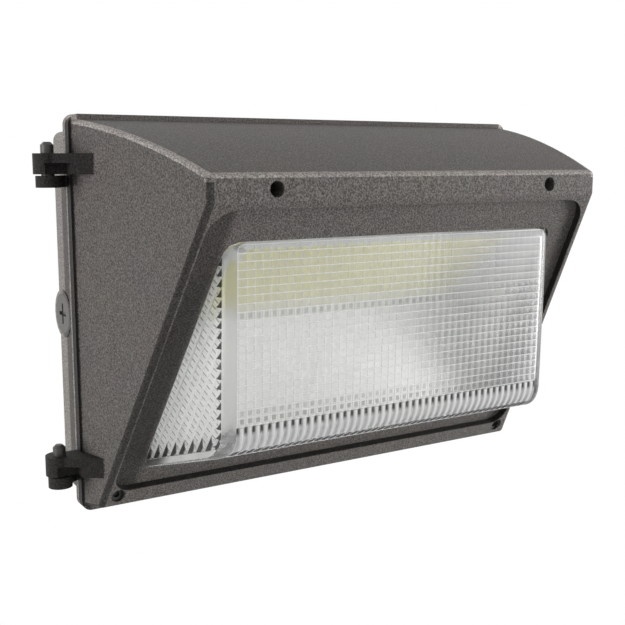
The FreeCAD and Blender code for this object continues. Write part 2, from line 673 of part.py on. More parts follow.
def buildSeals():
    ring = patternBody("seal_pattern", lambda name: turned(name, [
        (S["plug_thread"] + 0.2, 0), (S["plug_head"] - 0.2, 0), (S["plug_head"] - 0.2, S["seal_section"]),
        (S["plug_thread"] + 0.2, S["seal_section"])]))
    places = []
    for side in (-1, 1):
        turn = FreeCAD.Rotation(FreeCAD.Vector(0, 1, 0), 90 * side)
        face = side * (boxHalf + S["entry_proud"] - S["plug_head_thick"])
        places.append((face, -S["entry_out"], sized(0), turn))
    buildGroup("plug_seals", ring, places)
    gap = S["gasket_clearance"]
    label(gasketRing("DoorGasket", S["box_depth"] - S["groove_depth"], S["box_depth"] + S["seam_gap"] - 0.05, gap),
          "door_gasket")
    lip, rim, hole, bore = S["grommet_lip"], S["grommet_rim"], S["grommet_hole"], S["grommet_bore"]
    floor = S["box_floor"]
    fit = S["gasket_clearance"]
    grommet = turned("wire_entry_grommet", [(bore, 0), (hole - fit, 0), (hole - fit, floor), (rim, floor),
                                            (rim, floor + lip), (bore, floor + lip)])
    place(grommet, 0, 0, 0, UPRIGHT)


# ---- lens, its gasket, the reflector and the board
def lensProfile(depth):
    # The wedge the lens makes from the side; depth 0 is the outer face, more is inside it.
    clearance = S["lens_clearance"]
    top = openingTop + clearance + depth * 1.1
    bottom = openingBottom - clearance - depth * 1.1
    back = seatPlane + (1 if depth.value else 0)
    floor = S["recess_depth"] + depth
    topY, topZ = slantPoint(top, floor)
    footY, footZ = slantPoint(bottom, floor)
    toe = (topY + S["lens_rise"], S["lens_toe_rise"] - chinDrop + depth * 1.05)
    return [slantPoint(top, back), (topY, topZ), toe, (footY, footZ), slantPoint(bottom, back)]


def lensWedge(name, depth, bend, corner):
    side = prism(name + "Profile", SIDEWAYS, lensProfile(depth), -flangeHalf, flangeHalf)
    inset = openingInset + S["lens_clearance"] + depth
    shape = common(name + "Blank", side, planWedge(name + "Plan", inset + sideSlope * S["recess_depth"] * slantCos,
                                                   doorBack - 20))
    toeZ = lensProfile(depth)[2][1].value
    bent = roundEdges(name + "Bend", shape, bend, lambda middle, way: abs(way.x) > 0.99 and
                      abs(middle.z - toeZ) < 0.5)
    normal = FreeCAD.Vector(0, -slantCos.value, -slantSin.value)
    knee = FreeCAD.Vector(0, -fasciaOut.value, kneeHeight.value)

    def isSide(middle, way):
        ahead = (middle.sub(knee)).dot(normal)
        return abs(way.x) < 0.9 and ahead > -S["recess_depth"].value - 1 and abs(middle.x) > 50

    sides = roundEdges(name + "Sides", bent, corner, isSide)
    tighten = S["opening_corner"] - S["lens_clearance"] - depth
    top = openingTop + S["lens_clearance"] + depth
    bottom = openingBottom - S["lens_clearance"] - depth
    bound = slantPlate(name + "Bound", inset, top, bottom, -(seatPlane + 2), S["door_reach"], tighten, tighten)
    return common(name, sides, bound)


def buildLens():
    outer = lensWedge("LensOuter", sized(0), S["lens_bend"], S["lens_corner"])
    inner = lensWedge("LensInner", S["lens_wall"], S["lens_bend"] - S["lens_wall"], S["lens_corner"] - S["lens_wall"])
    margin = S["lens_flange"]
    plate = slantPlate("LensPlate", openingInset - margin, openingTop - margin, openingBottom + margin, -seatPlane,
                       -(seatPlane - S["lens_flange_thick"]), S["opening_corner"] + margin,
                       S["opening_corner"] + margin)
    label(cut("Lens", fuse("LensBlank", outer, plate), inner), "lens")
    low, high = -(recessBack + S["lens_gasket_thick"]), -recessBack
    band = slantPlate("SealOuter", openingInset - margin, openingTop - margin, openingBottom + margin, low, high,
                      S["opening_corner"] + margin, S["opening_corner"] + margin)
    hole = slantPlate("SealInner", openingInset, openingTop, openingBottom, low - 1, high + 1, S["opening_corner"],
                      S["opening_corner"])
    label(cut("LensGasket", band, hole), "lens_gasket")


trayRim = seatPlane + S["clip_thick"]
trayTop = openingTop - S["tray_margin"]
trayBottom = openingBottom + S["tray_margin"]
deckTop = slantPoint(trayTop, trayRim)
deckBack = (-S["deck_back"], -S["deck_drop"])
deckRun = deckBack[0] - deckTop[0]
deckFall = deckTop[1] - deckBack[1]
deckLength = Size(math.hypot(deckRun.value, deckFall.value), "hypot(%s; %s)" % (deckRun.text, deckFall.text))
deckAngle = Size(180 - math.degrees(math.atan2(deckFall.value, deckRun.value)),
                 "(180 deg - atan((%s) / (%s)))" % (deckFall.text, deckRun.text))
DECK = FreeCAD.Rotation(FreeCAD.Vector(1, 0, 0), deckAngle.value)


def deckPoint(back, under):
    # (Y, Z) of a point this far back along the deck's upper face and this far below it.
    along, across = deckRun / deckLength, deckFall / deckLength
    return deckTop[0] + back * along - under * across, deckTop[1] - back * across - under * along


def layOnDeck(obj, x, back, under):
    y, z = deckPoint(sized(back), sized(under))
    place(obj, x, y, z, DECK)
    bind(obj, "Placement.Rotation.Angle", deckAngle)
    return obj


def trayProfile(thick, past):
    # The folded pan from the side: the deck that carries the board, then the back plate down to the rim.
    top, bottom = trayTop + thick * 2.2, trayBottom - thick * 1.6
    corner = (deckBack[0] - thick * 1.1, deckBack[1] - thick * 0.47)
    return [slantPoint(top, trayRim - past), slantPoint(top, trayRim), corner, slantPoint(bottom, trayRim),
            slantPoint(bottom, trayRim - past)]


def pan(name, thick, past):
    side = prism(name + "Profile", SIDEWAYS, trayProfile(thick, past), -flangeHalf, flangeHalf)
    inset = openingInset - S["tray_margin"] + thick
    plan = prism(name + "Plan", SLANTED, slantOutline(inset, openingTop - 60, openingBottom + 30),
                 -S["door_reach"], sized(0))
    return common(name, side, plan)


def buildReflector():
    low = -(trayRim + S["tray_thick"])
    high = -trayRim
    rim = slantPlate("TrayRim", openingInset - S["tray_flange"], openingTop - S["lens_flange"],
                     openingBottom + S["lens_flange"], low, high, sized(4), sized(4))
    holes = [slantCylinder("TrayHole%d" % n, S["small_screw"] + S["small_fit"], side, down, S["boss_offset"],
                           low - 1, high + 1) for n, (side, down) in enumerate(bossPlaces())]
    for n, (x, back) in enumerate(boardScrewPlaces()):
        drill = doc.addObject("Part::Cylinder", "DeckPilot%d" % n)
        bind(drill, "Radius", S["small_screw"])
        bind(drill, "Height", 2 * S["tray_thick"])
        holes.append(layOnDeck(drill, x, back, -0.5))
    whole = fuse("TrayWhole", rim, pan("PanOuter", sized(0), sized(0.2)))
    label(cut("Reflector", whole, pan("PanInner", S["tray_thick"], sized(1)), *holes), "reflector")


def boardScrewPlaces():
    # (X, distance back along the deck) of the four screws at the board's corners.
    across = S["board_width"] / 2 - S["board_screw_inset"]
    near = S["board_start"] + S["board_screw_inset"]
    far = S["board_start"] + S["board_height"] - S["board_screw_inset"]
    return [(side * across, back) for side in (-1, 1) for back in (near, far)]


def deckPlace(x, back, under):
    y, z = deckPoint(sized(back), sized(under))
    return sized(x), y, z, DECK


def buildBoard(screw):
    half, tall, thick = S["board_width"] / 2, S["board_height"], S["board_thick"]
    under = S["tray_thick"] * 1.02
    board = padded("led_board", rectangle(-half, half, -tall, sized(0)), thick)
    layOnDeck(board, 0, S["board_start"], under)
    drills = []
    for n, (x, back) in enumerate(boardScrewPlaces()):
        drill = doc.addObject("Part::Cylinder", "BoardHole%d" % n)
        bind(drill, "Radius", S["small_screw"] + S["small_fit"])
        bind(drill, "Height", thick + 2)
        drills.append(layOnDeck(drill, x, back, under - 1))
    nodes.remove(board)
    board.Label = "board_blank"
    label(cut("LedBoard", board, *drills), "led_board")
    columns, rows = int(S["chip_columns"].value), int(S["chip_rows"].value)
    wide, high = S["chip_width"] / 2, S["chip_height"] / 2
    chip = patternBody("chip_pattern", lambda name: padded(name, rectangle(-wide, wide, -high, high), S["chip_thick"]))
    first = S["board_start"] + (S["board_height"] - (rows - 1) * S["chip_pitch_down"]) / 2
    places = []
    for row in range(rows):
        for column in range(columns):
            across = (column - (columns - 1) / 2) * S["chip_pitch_across"]
            places.append(deckPlace(across, first + row * S["chip_pitch_down"], under + thick))
    buildGroup("led_chips", chip, places)
    places = [deckPlace(x, back, under + thick) for x, back in boardScrewPlaces()]
    buildGroup("led_board_screws", screw, places)
    long, wide, high = S["connector_length"] / 2, S["connector_width"] / 2, S["connector_height"]
    connector = padded("led_connector", rectangle(-long, long, -wide, wide), high)
    layOnDeck(connector, S["board_width"] / 2 - 3 * long, S["board_start"] + 4 * wide, -high)


def smallScrew(name, length):
    shank, head, tall = S["small_screw"] - 0.05, S["small_head"], S["small_head_height"]
    points = [(0, -length), (shank - 0.4, -length), (shank, -(length - 0.6)), (shank, 0), (head, 0),
              (head, tall - 0.7), (head - 0.7, tall), (1.0, tall), (1.0, tall * 0.4), (0, tall * 0.4)]
    return patternBody(name, lambda label_: turned(label_, points))


def buildClipsAndScrews():
    length, half = S["clip_height"], S["boss_radius"]
    inner = S["boss_offset"] - S["lens_flange"] + S["clip_lap"]
    hole = S["small_screw"] + S["small_fit"]
    clips = []
    for n, (side, down) in enumerate(bossPlaces()):
        x = slantHalf(down, openingInset) + S["boss_offset"]
        x0, x1 = (x - inner, x + half) if side > 0 else (-(x + half), -(x - inner))
        plate = box("Clip%d" % n, SLANTED, x0, x1, -(down + length / 2), -(down - length / 2),
                    -(seatPlane + S["clip_thick"]), -seatPlane)
        drill = slantCylinder("ClipHole%d" % n, hole, side, down, S["boss_offset"], -(seatPlane + S["clip_thick"] + 1),
                              -(seatPlane - 1))
        clips.append(cut("ClipPlate%d" % n, plate, drill))
    group = doc.addObject("Part::Compound", "LensClips")
    group.Links = clips
    label(group, "lens_clips")
    screw = smallScrew("tray_screw_pattern", S["tray_screw_length"])
    inwardTurn = FreeCAD.Rotation(FreeCAD.Vector(1, 0, 0), slantAngle.value - 180)
    places = []
    for side, down in bossPlaces():
        x = side * (slantHalf(down, openingInset) + S["boss_offset"])
        y, z = slantPoint(down, trayRim + S["tray_thick"])
        places.append((x, y, z, inwardTurn))
    buildGroup("reflector_screws", screw, places)


def drillGear(body, kind, name):
    # The screw holes through a piece's feet, clear of the screws.
    nodes.remove(body)
    body.Label = name + "_blank"
    drills = [cylinder("GearHole_%s%d" % (kind, n), S["small_screw"] + S["small_fit"], 2 * S["driver_depth"], x, 0, z,
                       UPRIGHT) for n, (x, z) in enumerate(gearScrewPlaces()[kind])]
    return label(cut("Gear_" + kind, body, *drills), name)


def buildGear(screw):
    floor = S["box_floor"] + S["gear_standoff"]
    half, tall = S["driver_length"] / 2, S["driver_height"] / 2
    foot = half + S["driver_foot"]
    driver = padded("led_driver", rectangle(-half, half, -tall, tall), S["driver_depth"])
    base = bodySketch(driver, "XY_Plane", "driver_feet", rectangle(-foot, foot, -tall * 0.5, tall * 0.5))
    feet = driver.newObject("PartDesign::Pad", "driver_feet_pad")
    feet.Profile = (base, [""])
    bind(feet, "Length", S["driver_foot_thick"])
    driver.Tip = feet
    drillGear(place(driver, 0, -floor, S["driver_centre"], UPRIGHT), "driver", "led_driver")
    for name, size, across in (("surge", "surge_protector", -S["surge_across"]),
                               ("terminal", "terminal_block", S["terminal_across"])):
        x, z = S[name + "_length"] / 2, S[name + "_height"] / 2
        block = padded(size, rectangle(-x, x, -z, z), S[name + "_depth"])
        inset = x - 2 * S["small_head"] - 2
        ear = S["driver_foot_thick"]
        for side, tag in ((-1, "near"), (1, "far")):
            x0, x1 = (inset, x + 1) if side > 0 else (-(x + 1), -inset)
            pocket(block, "%s_ear_%s" % (name, tag), "XY_Plane", rectangle(x0, x1, -(z + 1), z + 1),
                   S[name + "_depth"], ear, True)
        drillGear(place(block, across, -floor, -S["gear_drop"], UPRIGHT), name, size)
    places = gearScrewPlaces()
    seat = floor + S["driver_foot_thick"]
    for kind, name in (("driver", "driver_screws"), ("surge", "surge_screws"), ("terminal", "terminal_screws")):
        buildGroup(name, screw, [(x, -seat, z, UPRIGHT) for x, z in places[kind]])
    buildGroup("ground_screw", screw, [(x, -seat, z, UPRIGHT) for x, z in places["ground"]])


buildBackBox()
buildDoor()
buildHingePins()
buildDoorScrews()
buildPlugs()
buildSeals()
buildLens()
buildReflector()
buildClipsAndScrews()
smallScrews = smallScrew("small_screw_pattern", S["small_length"])
buildBoard(smallScrews)
buildGear(smallScrews)
doc.recompute()


def checkDocument():
    for obj in doc.Objects:
        if "Invalid" in obj.State or "Error" in obj.State:
            raise RuntimeError("%s did not compute" % obj.Label)
    for node in nodes:
        if node.Shape.isNull() or not node.Shape.isValid():
            raise RuntimeError("%s has no valid shape" % node.Label)


checkDocument()
os.makedirs("parts", exist_ok=True)
for node in nodes:
    node.Shape.exportStep("parts/%s.step" % node.Label)
    print("%-24s %2d solids %12.1f mm3" % (node.Label, len(node.Shape.Solids), node.Shape.Volume))
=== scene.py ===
import math

import bmesh
import bpy
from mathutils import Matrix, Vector


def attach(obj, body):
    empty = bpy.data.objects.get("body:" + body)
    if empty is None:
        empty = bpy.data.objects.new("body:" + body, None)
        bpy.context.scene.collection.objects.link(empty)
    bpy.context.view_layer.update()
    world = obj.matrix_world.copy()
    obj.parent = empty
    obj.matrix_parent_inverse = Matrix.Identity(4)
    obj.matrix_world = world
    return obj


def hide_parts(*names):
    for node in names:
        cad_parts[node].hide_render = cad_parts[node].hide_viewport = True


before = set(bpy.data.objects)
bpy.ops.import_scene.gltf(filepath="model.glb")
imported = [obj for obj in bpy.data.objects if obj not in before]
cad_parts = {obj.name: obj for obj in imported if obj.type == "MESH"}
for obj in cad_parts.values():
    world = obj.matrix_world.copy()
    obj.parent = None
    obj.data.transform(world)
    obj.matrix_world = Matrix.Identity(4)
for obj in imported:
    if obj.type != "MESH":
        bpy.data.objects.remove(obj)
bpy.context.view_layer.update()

mm = 0.001
print("frame loaded")

mathNode, rangeNode = "ShaderNodeMath", "ShaderNodeMapRange"
soft = {"interpolation_type": "SMOOTHSTEP"}     # a range node that eases in and out


def linear(hexColour):
    # sRGB hex to the linear colour that the shaders use
    channels = [int(hexColour[i:i + 2], 16) / 255 for i in (1, 3, 5)]
    return [c / 12.92 if c <= 0.04045 else ((c + 0.055) / 1.055) ** 2.4 for c in channels] + [1.0]


def perMm(size):
    # texture scale for a feature of this many millimetres, in object metres
    return 1.0 / (size * mm)


def addNode(tree, kind, *inputs, named=None, stops=(), **settings):
    # one node with its settings. Its inputs come in order or by name, and each is a value, a socket, or a
    # node whose first output feeds it. Stops are the places and colours of a ramp.
    node = tree.nodes.new(kind)
    for name, value in settings.items():
        setattr(node, name, value)
    for name, value in [*enumerate(inputs), *(named or {}).items()]:
        if isinstance(value, bpy.types.Node):
            value = value.outputs[0]
        if isinstance(value, bpy.types.NodeSocket):
            tree.links.new(value, node.inputs[name])
        else:
            node.inputs[name].default_value = value
    for n, (place, colour) in enumerate(stops):
        elements = node.color_ramp.elements
        element = elements[n] if n < len(elements) else elements.new(place)
        element.position, element.color = place, linear(colour)
    return node


def newMaterial(name):
    # an empty material, its tree and the object coordinates
    material = bpy.data.materials.new(name)
    material.use_nodes = True
    tree = material.node_tree
    tree.nodes.clear()
    return material, tree, addNode(tree, "ShaderNodeTexCoord").outputs["Object"]


def joined(tree, operation, *values):
    # several values put together by one operation, two at a time
    result = values[0]
    for value in values[1:]:
        result = addNode(tree, mathNode, result, value, operation=operation)
    return result


def window(tree, value, rise, fall):
    # climbs from 0 to 1 over the first pair of values and back to 0 over the second
    climb = addNode(tree, rangeNode, value, rise[0], rise[1], **soft)
    return addNode(tree, mathNode, climb, addNode(tree, rangeNode, value, fall[1], fall[0], **soft),
                   operation="MULTIPLY")


def shareOf(tree, place, pitch):
    # how far through its repeat a place is, from 0 to 1
    return addNode(tree, mathNode, addNode(tree, mathNode, place, pitch, operation="DIVIDE"),
                   operation="FRACT")


def ridge(tree, place, pitch):
    # 0 on the crown of a rib and 1 in the valley between two
    swing = addNode(tree, mathNode, shareOf(tree, place, pitch), 2.0, -1.0, operation="MULTIPLY_ADD")
    return addNode(tree, mathNode, swing, operation="ABSOLUTE")


def leaning(tree, first, second, lean):
    # the distance along a direction, from two distances and the direction's share of each
    return addNode(tree, mathNode, first, lean[0],
                   addNode(tree, mathNode, second, lean[1], operation="MULTIPLY"),
                   operation="MULTIPLY_ADD")


# the slanted front of the door, in mm: how far out it starts, from what height and half width, how far back
# and down it runs, and how fast its sides widen towards the wall
door = {"faceOut": 155.4, "kneeHeight": 70.7, "faceHalf": 135.3, "run": 102.7, "fall": 183.6,
        "sideSlope": 0.24361}
slantLength = math.hypot(door["run"], door["fall"])
slantSin, slantCos = door["run"] / slantLength, door["fall"] / slantLength

coat = {
    "base": "#676360", "light": "#847f7c", "dark": "#484441", "toneStops": (0.36, 0.5, 0.64),
    "grain": 0.95, "grainDetail": 3.0, "grainRoughness": 0.6, "pore": 1.2, "poreShare": 0.35,
    "cloud": 38.0, "cloudDetail": 2.0, "cloudShare": 0.1, "relief": 0.8, "bump": 0.9,
    "roughness": 0.5, "glossFrom": (0.3, 0.7), "glossSpread": (-0.05, 0.12), "ior": 1.5, "specular": 0.12,
}
# how much each place darkens or pales the coat, and where the place begins and ends, in mm. The darkening is
# painted shade on the recess walls, the recess's left band, the hinge arms and the lower left edge; the
# paling is painted highlights on the rounded top edges, and a paler back box
coatPlaces = {
    "recessWallShade": 0.14, "recessLeftShadow": 0.45, "hinge": 0.2, "leftEdgeShade": 0.38, "backBox": 2.05,
    "topEdgeHighlight": 3.1, "fasciaEdgeHighlight": 2.5,
    "recessSide": (3.0, 3.6), "recessTop": (2.4, 3.4), "recessFoot": (200.2, 201.0),
    "wallFront": (0.25, 0.7), "wallBack": (4.5, 4.9), "floorBack": (6.0, 7.0), "leftBand": (25.0, 19.0),
    "hingeFrom": (-0.3, -0.6), "roundFrom": (0.02, 0.12), "roundTo": (2.9, 3.6), "browHeight": 10.5,
    "sideTop": 12.8, "boxFrom": (122.6, 122.8),
}


def coatShadeAndHighlights(tree, place):
    # the coat's tone by place: painted shade on the walls of the recess, down its left band, on the hinge
    # arms and along the lower left rounded edge, painted highlights over the rounded edges along the top, and
    # paler on the back box
    x, y, z = addNode(tree, "ShaderNodeSeparateXYZ", place).outputs
    across = addNode(tree, mathNode, x, mm, operation="DIVIDE")
    back = addNode(tree, mathNode, y, 1 / mm, door["faceOut"], operation="MULTIPLY_ADD")
    above = addNode(tree, mathNode, z, 1 / mm, -door["kneeHeight"], operation="MULTIPLY_ADD")
    inward = leaning(tree, back, above, (slantCos, slantSin))
    down = leaning(tree, back, above, (slantSin, -slantCos))
    half = addNode(tree, mathNode, back, door["sideSlope"], door["faceHalf"], operation="MULTIPLY_ADD")
    beside = addNode(tree, mathNode, half, addNode(tree, mathNode, across, operation="ABSOLUTE"),
                     operation="SUBTRACT")
    leftHalf = addNode(tree, mathNode, across, 0.0, operation="LESS_THAN")
    overBrow = addNode(tree, mathNode, above, coatPlaces["browHeight"], operation="GREATER_THAN")

    recess = addNode(tree, mathNode, addNode(tree, rangeNode, beside, *coatPlaces["recessSide"], **soft),
                     window(tree, down, coatPlaces["recessTop"], coatPlaces["recessFoot"]),
                     operation="MULTIPLY")
    # painted shade on the walls of the recess
    wall = addNode(tree, mathNode, recess,
                   window(tree, inward, coatPlaces["wallFront"], coatPlaces["wallBack"]),
                   operation="MULTIPLY")
    # painted shadow down the recess's left band
    left = joined(tree, "MULTIPLY", recess, leftHalf,
                  window(tree, inward, coatPlaces["wallBack"], coatPlaces["floorBack"]),
                  addNode(tree, rangeNode, beside, *coatPlaces["leftBand"], **soft))
    # painted shade on the hinge arms
    hinge = addNode(tree, rangeNode, beside, *coatPlaces["hingeFrom"], **soft)
    sideRound = window(tree, beside, coatPlaces["roundFrom"], coatPlaces["roundTo"])
    # painted shade along the left rounded edge below the brow
    leftEdgeShade = joined(tree, "MULTIPLY", sideRound, leftHalf,
                      addNode(tree, mathNode, above, coatPlaces["sideTop"], operation="LESS_THAN"))
    box = addNode(tree, rangeNode, back, *coatPlaces["boxFrom"], **soft)
    # painted highlights on the rounded edges along the top of the sides and of the fascia
    top = joined(tree, "MULTIPLY", sideRound, overBrow, coatPlaces["topEdgeHighlight"] - 1.0)
    browHighlight = joined(tree, "MULTIPLY", window(tree, back, coatPlaces["roundFrom"], coatPlaces["roundTo"]),
                  overBrow, coatPlaces["fasciaEdgeHighlight"] - 1.0)
    edgeHighlights = addNode(tree, mathNode, top, browHighlight, operation="MAXIMUM")
    tone = addNode(tree, mathNode, edgeHighlights, addNode(tree, mathNode, 1.0, box, operation="SUBTRACT"), 1.0,
                   operation="MULTIPLY_ADD")
    for mask, strength in ((wall, "recessWallShade"), (hinge, "hinge"), (box, "backBox"), (left, "recessLeftShadow"),
                           (leftEdgeShade, "leftEdgeShade")):
        factor = addNode(tree, mathNode, mask, coatPlaces[strength] - 1.0, 1.0, operation="MULTIPLY_ADD")
        tone = addNode(tree, mathNode, tone, factor, operation="MULTIPLY")
    return tone


def powderCoatBronze():
    # bronze textured powder coat, baked on cast aluminium: a hard dry grain that breaks up every highlight.
    # The real grain is about half this size, and is drawn as coarse as it needs to show
    material, tree, place = newMaterial("powderCoatBronze")
    grain = addNode(tree, "ShaderNodeTexNoise", place, named={
        "Scale": perMm(coat["grain"]), "Detail": coat["grainDetail"], "Roughness": coat["grainRoughness"]})
    pore = addNode(tree, "ShaderNodeTexVoronoi", place, named={"Scale": perMm(coat["pore"])}, feature="F1")
    cloud = addNode(tree, "ShaderNodeTexNoise", place, named={
        "Scale": perMm(coat["cloud"]), "Detail": coat["cloudDetail"]})
    tone = addNode(tree, "ShaderNodeValToRGB", grain,
                   stops=zip(coat["toneStops"], (coat["dark"], coat["base"], coat["light"])))
    drift = addNode(tree, "ShaderNodeMix", data_type="RGBA", blend_type="MULTIPLY", named={
        "Factor": coat["cloudShare"], "A": tone, "B": cloud.outputs["Color"]})
    # painted shade and painted highlights by place, over the grain's tone
    shaded = addNode(tree, "ShaderNodeVectorMath", drift.outputs["Result"], operation="SCALE",
                     named={"Scale": coatShadeAndHighlights(tree, place)})
    height = addNode(tree, mathNode, pore, coat["poreShare"], grain, operation="MULTIPLY_ADD")
    bump = addNode(tree, "ShaderNodeBump", named={
        "Strength": coat["bump"], "Distance": coat["relief"] * mm, "Height": height})
    gloss = addNode(tree, rangeNode, grain, *coat["glossFrom"],
                    *(coat["roughness"] + more for more in coat["glossSpread"]))
    surface = addNode(tree, "ShaderNodeBsdfPrincipled", named={
        "Base Color": shaded, "Roughness": gloss, "Normal": bump, "IOR": coat["ior"],
        "Specular IOR Level": coat["specular"]})
    addNode(tree, "ShaderNodeOutputMaterial", surface)
    return material


# what the plain finishes share
speckle = {"detail": 4.0, "toneStops": (0.35, 0.65), "glossFrom": (0.3, 0.7), "glossSpread": (-0.06, 0.08),
           "bump": 0.5}


def speckledMaterial(name, colours, size, roughness, relief, metallic=0.0, stretch=None):
    # a moulded, cast or brushed surface: two tones in a noise of this size, with a relief, both in mm. The
    # real grain is a few tenths of a millimetre, and is drawn as coarse as it needs to show
    material, tree, place = newMaterial(name)
    if stretch:
        place = addNode(tree, "ShaderNodeMapping", place, named={"Scale": stretch})
    noise = addNode(tree, "ShaderNodeTexNoise", place, named={
        "Scale": perMm(size), "Detail": speckle["detail"]})
    tone = addNode(tree, "ShaderNodeValToRGB", noise, stops=zip(speckle["toneStops"], colours))
    gloss = addNode(tree, rangeNode, noise, *speckle["glossFrom"],
                    *(roughness + more for more in speckle["glossSpread"]))
    bump = addNode(tree, "ShaderNodeBump", named={
        "Strength": speckle["bump"], "Distance": relief * mm, "Height": noise})
    surface = addNode(tree, "ShaderNodeBsdfPrincipled", named={
        "Base Color": tone, "Roughness": gloss, "Normal": bump, "Metallic": metallic})
    addNode(tree, "ShaderNodeOutputMaterial", surface)
    return material


# the pattern pressed into the lens, in mm. levelLean is the way the level ribs climb the sides, as shares
# of Y and Z
grid = {"columnPitch": 5.0, "rowPitch": 4.5, "half": 110.0, "length": 99.0, "sidePitch": 5.6,
        "levelPitch": 4.0, "levelLean": (0.575, -0.819), "overlap": 0.3}
zones = {"outer": -0.5, "front": 0.25, "side": 0.75}    # limits of the zone that each point of the lens is in

# the ripple's spacing and relief are in mm, the stops in shares of a column. hazeDark is painted shade on the
# far half of each column, line is a painted highlight, and root and shade are painted shade
glass = {
    "tint": "#f7f8f9", "roughness": 0.24, "ior": 1.47, "ripple": 3.5, "rippleDetail": 2.0,
    "rippleBump": 0.25, "rippleRelief": 0.1, "haze": 0.26, "hazeRoughness": 0.3, "hazeSpecular": 0.25,
    "hazeLight": "#c4c4c3", "hazeDark": "#b0b0af", "hazeStops": (0.3, 0.45, 0.8, 0.95),
    "line": "#dadad9", "root": "#191817", "rootShare": 0.88, "shade": "#7d7d7c", "shadeFrom": (0.0, 0.12),
    "shadow": "#e2e2e1",
}
# painted highlights along the pressed edges, and a painted glow over the flutes: how strong each kind is, and
# where it begins and ends, in shares of a rib or in mm
pale = {
    "row": 0.85, "column": 0.3, "edge": 0.7, "crown": 0.95, "glow": 0.35, "side": 0.6, "strip": 0.6,
    "rowFrom": (0.8, 0.92), "columnFrom": (0.84, 0.94), "edgeFrom": (-0.8, -0.2), "endFrom": (-0.7, -0.2),
    "fluteFrom": (100.0, 100.1), "fluteTo": (115.8, 116.5), "crownTo": (0.8, 0.15),
    "diamondFrom": (0.82, 0.94), "stripWidth": 5.0, "stripEnd": (5.0, 5.6),
}
# painted shade: the dark heads of the flutes, the dark teeth round the foot and the darkened corners
dark = {
    "headFrom": (99.4, 100.2), "headTo": (102.5, 106.0), "headShare": (0.3, 0.8),
    "toothPower": 1.6, "toothReach": 4.2, "toothSoft": (0.0, 0.8),
    "footRise": 9.0, "footStart": 5.0, "footSoft": (0.0, 1.2), "footShare": (0.25, 0.5),
    "hemLean": -0.4, "hemFrom": (66.0, 66.1), "hemTo": (74.8, 75.5), "hemStart": (0.25, 0.35),
    "hemEnd": (0.75, 0.85),
    "rear": 0.9, "rearFrom": (-116.0, -104.0),
    "turned": 0.6, "cornerFrom": (0.2, 0.3), "cornerTo": (0.25, 0.95),
    "turnedPlaces": (((103.0, 103.1), (108.3, 109.0)), ((115.0, 115.1), (123.3, 124.0))),
}
# painted grey shade: three rows of cells with their strengths, and what dims towards the right and in the
# corner
grey = {
    "cell": 0.42, "cellTo": (0.6, 0.35),
    "rows": (((95.1, 95.2), (97.4, 98.1), 1.0), ((36.6, 36.7), (39.2, 39.9), 0.55),
             ((90.6, 90.7), (92.9, 93.6), 0.6)),
    "drift": 0.5, "driftFrom": (-10.0, 110.0), "stripeFrom": (0.3, 0.45), "stripeTo": (0.8, 0.95),
    "dash": 0.45, "dashFrom": (0.74, 0.9), "dashShare": 0.35,
    "upper": 0.5, "upperFrom": (15.0, 85.0), "upperTo": (65.0, 25.0), "upright": 0.14,
}


def lensPlaces(tree, place):
    # where a point lies on the lens: in millimetres, in shares of the ribs, and on which of its faces
    at = {name: addNode(tree, "ShaderNodeAttribute", attribute_name=name).outputs["Fac"]
          for name in ("across", "along", "zone", "edgeRun", "toFoot")}
    x, y, z = addNode(tree, "ShaderNodeSeparateXYZ", place).outputs
    at["slanted"] = leaning(tree, y, z, (slantCos / mm, slantSin / mm))
    at["level"] = leaning(tree, y, z, [share / mm for share in grid["levelLean"]])
    at["column"] = ridge(tree, at["across"], grid["columnPitch"])
    at["row"] = ridge(tree, at["along"], grid["rowPitch"])
    at["share"] = shareOf(tree, at["across"], grid["columnPitch"])
    at["step"] = shareOf(tree, at["slanted"], grid["sidePitch"])
    at["outer"] = addNode(tree, mathNode, at["zone"], zones["outer"], operation="GREATER_THAN")
    at["front"] = addNode(tree, mathNode, at["outer"], addNode(
        tree, mathNode, at["zone"], zones["front"], operation="LESS_THAN"), operation="MULTIPLY")
    at["inGrid"] = joined(
        tree, "MULTIPLY", at["front"],
        addNode(tree, mathNode, at["along"], -grid["overlap"], operation="GREATER_THAN"),
        addNode(tree, mathNode, at["along"], grid["length"] + grid["overlap"], operation="LESS_THAN"))
    at["flutes"] = addNode(tree, mathNode, at["front"],
                           window(tree, at["along"], pale["fluteFrom"], pale["fluteTo"]),
                           operation="MULTIPLY")
    side = addNode(tree, mathNode, at["zone"], zones["side"], operation="GREATER_THAN")
    at["inSide"] = addNode(tree, mathNode, side,
                           addNode(tree, rangeNode, at["toFoot"], *pale["stripEnd"], **soft),
                           operation="MULTIPLY")
    at["strip"] = addNode(tree, mathNode, side, addNode(
        tree, mathNode, at["toFoot"], pale["stripWidth"], operation="LESS_THAN"), operation="MULTIPLY")
    at["upright"] = addNode(tree, mathNode, at["outer"],
                            window(tree, at["zone"], dark["cornerFrom"], dark["cornerTo"]),
                            operation="MULTIPLY")
    return at


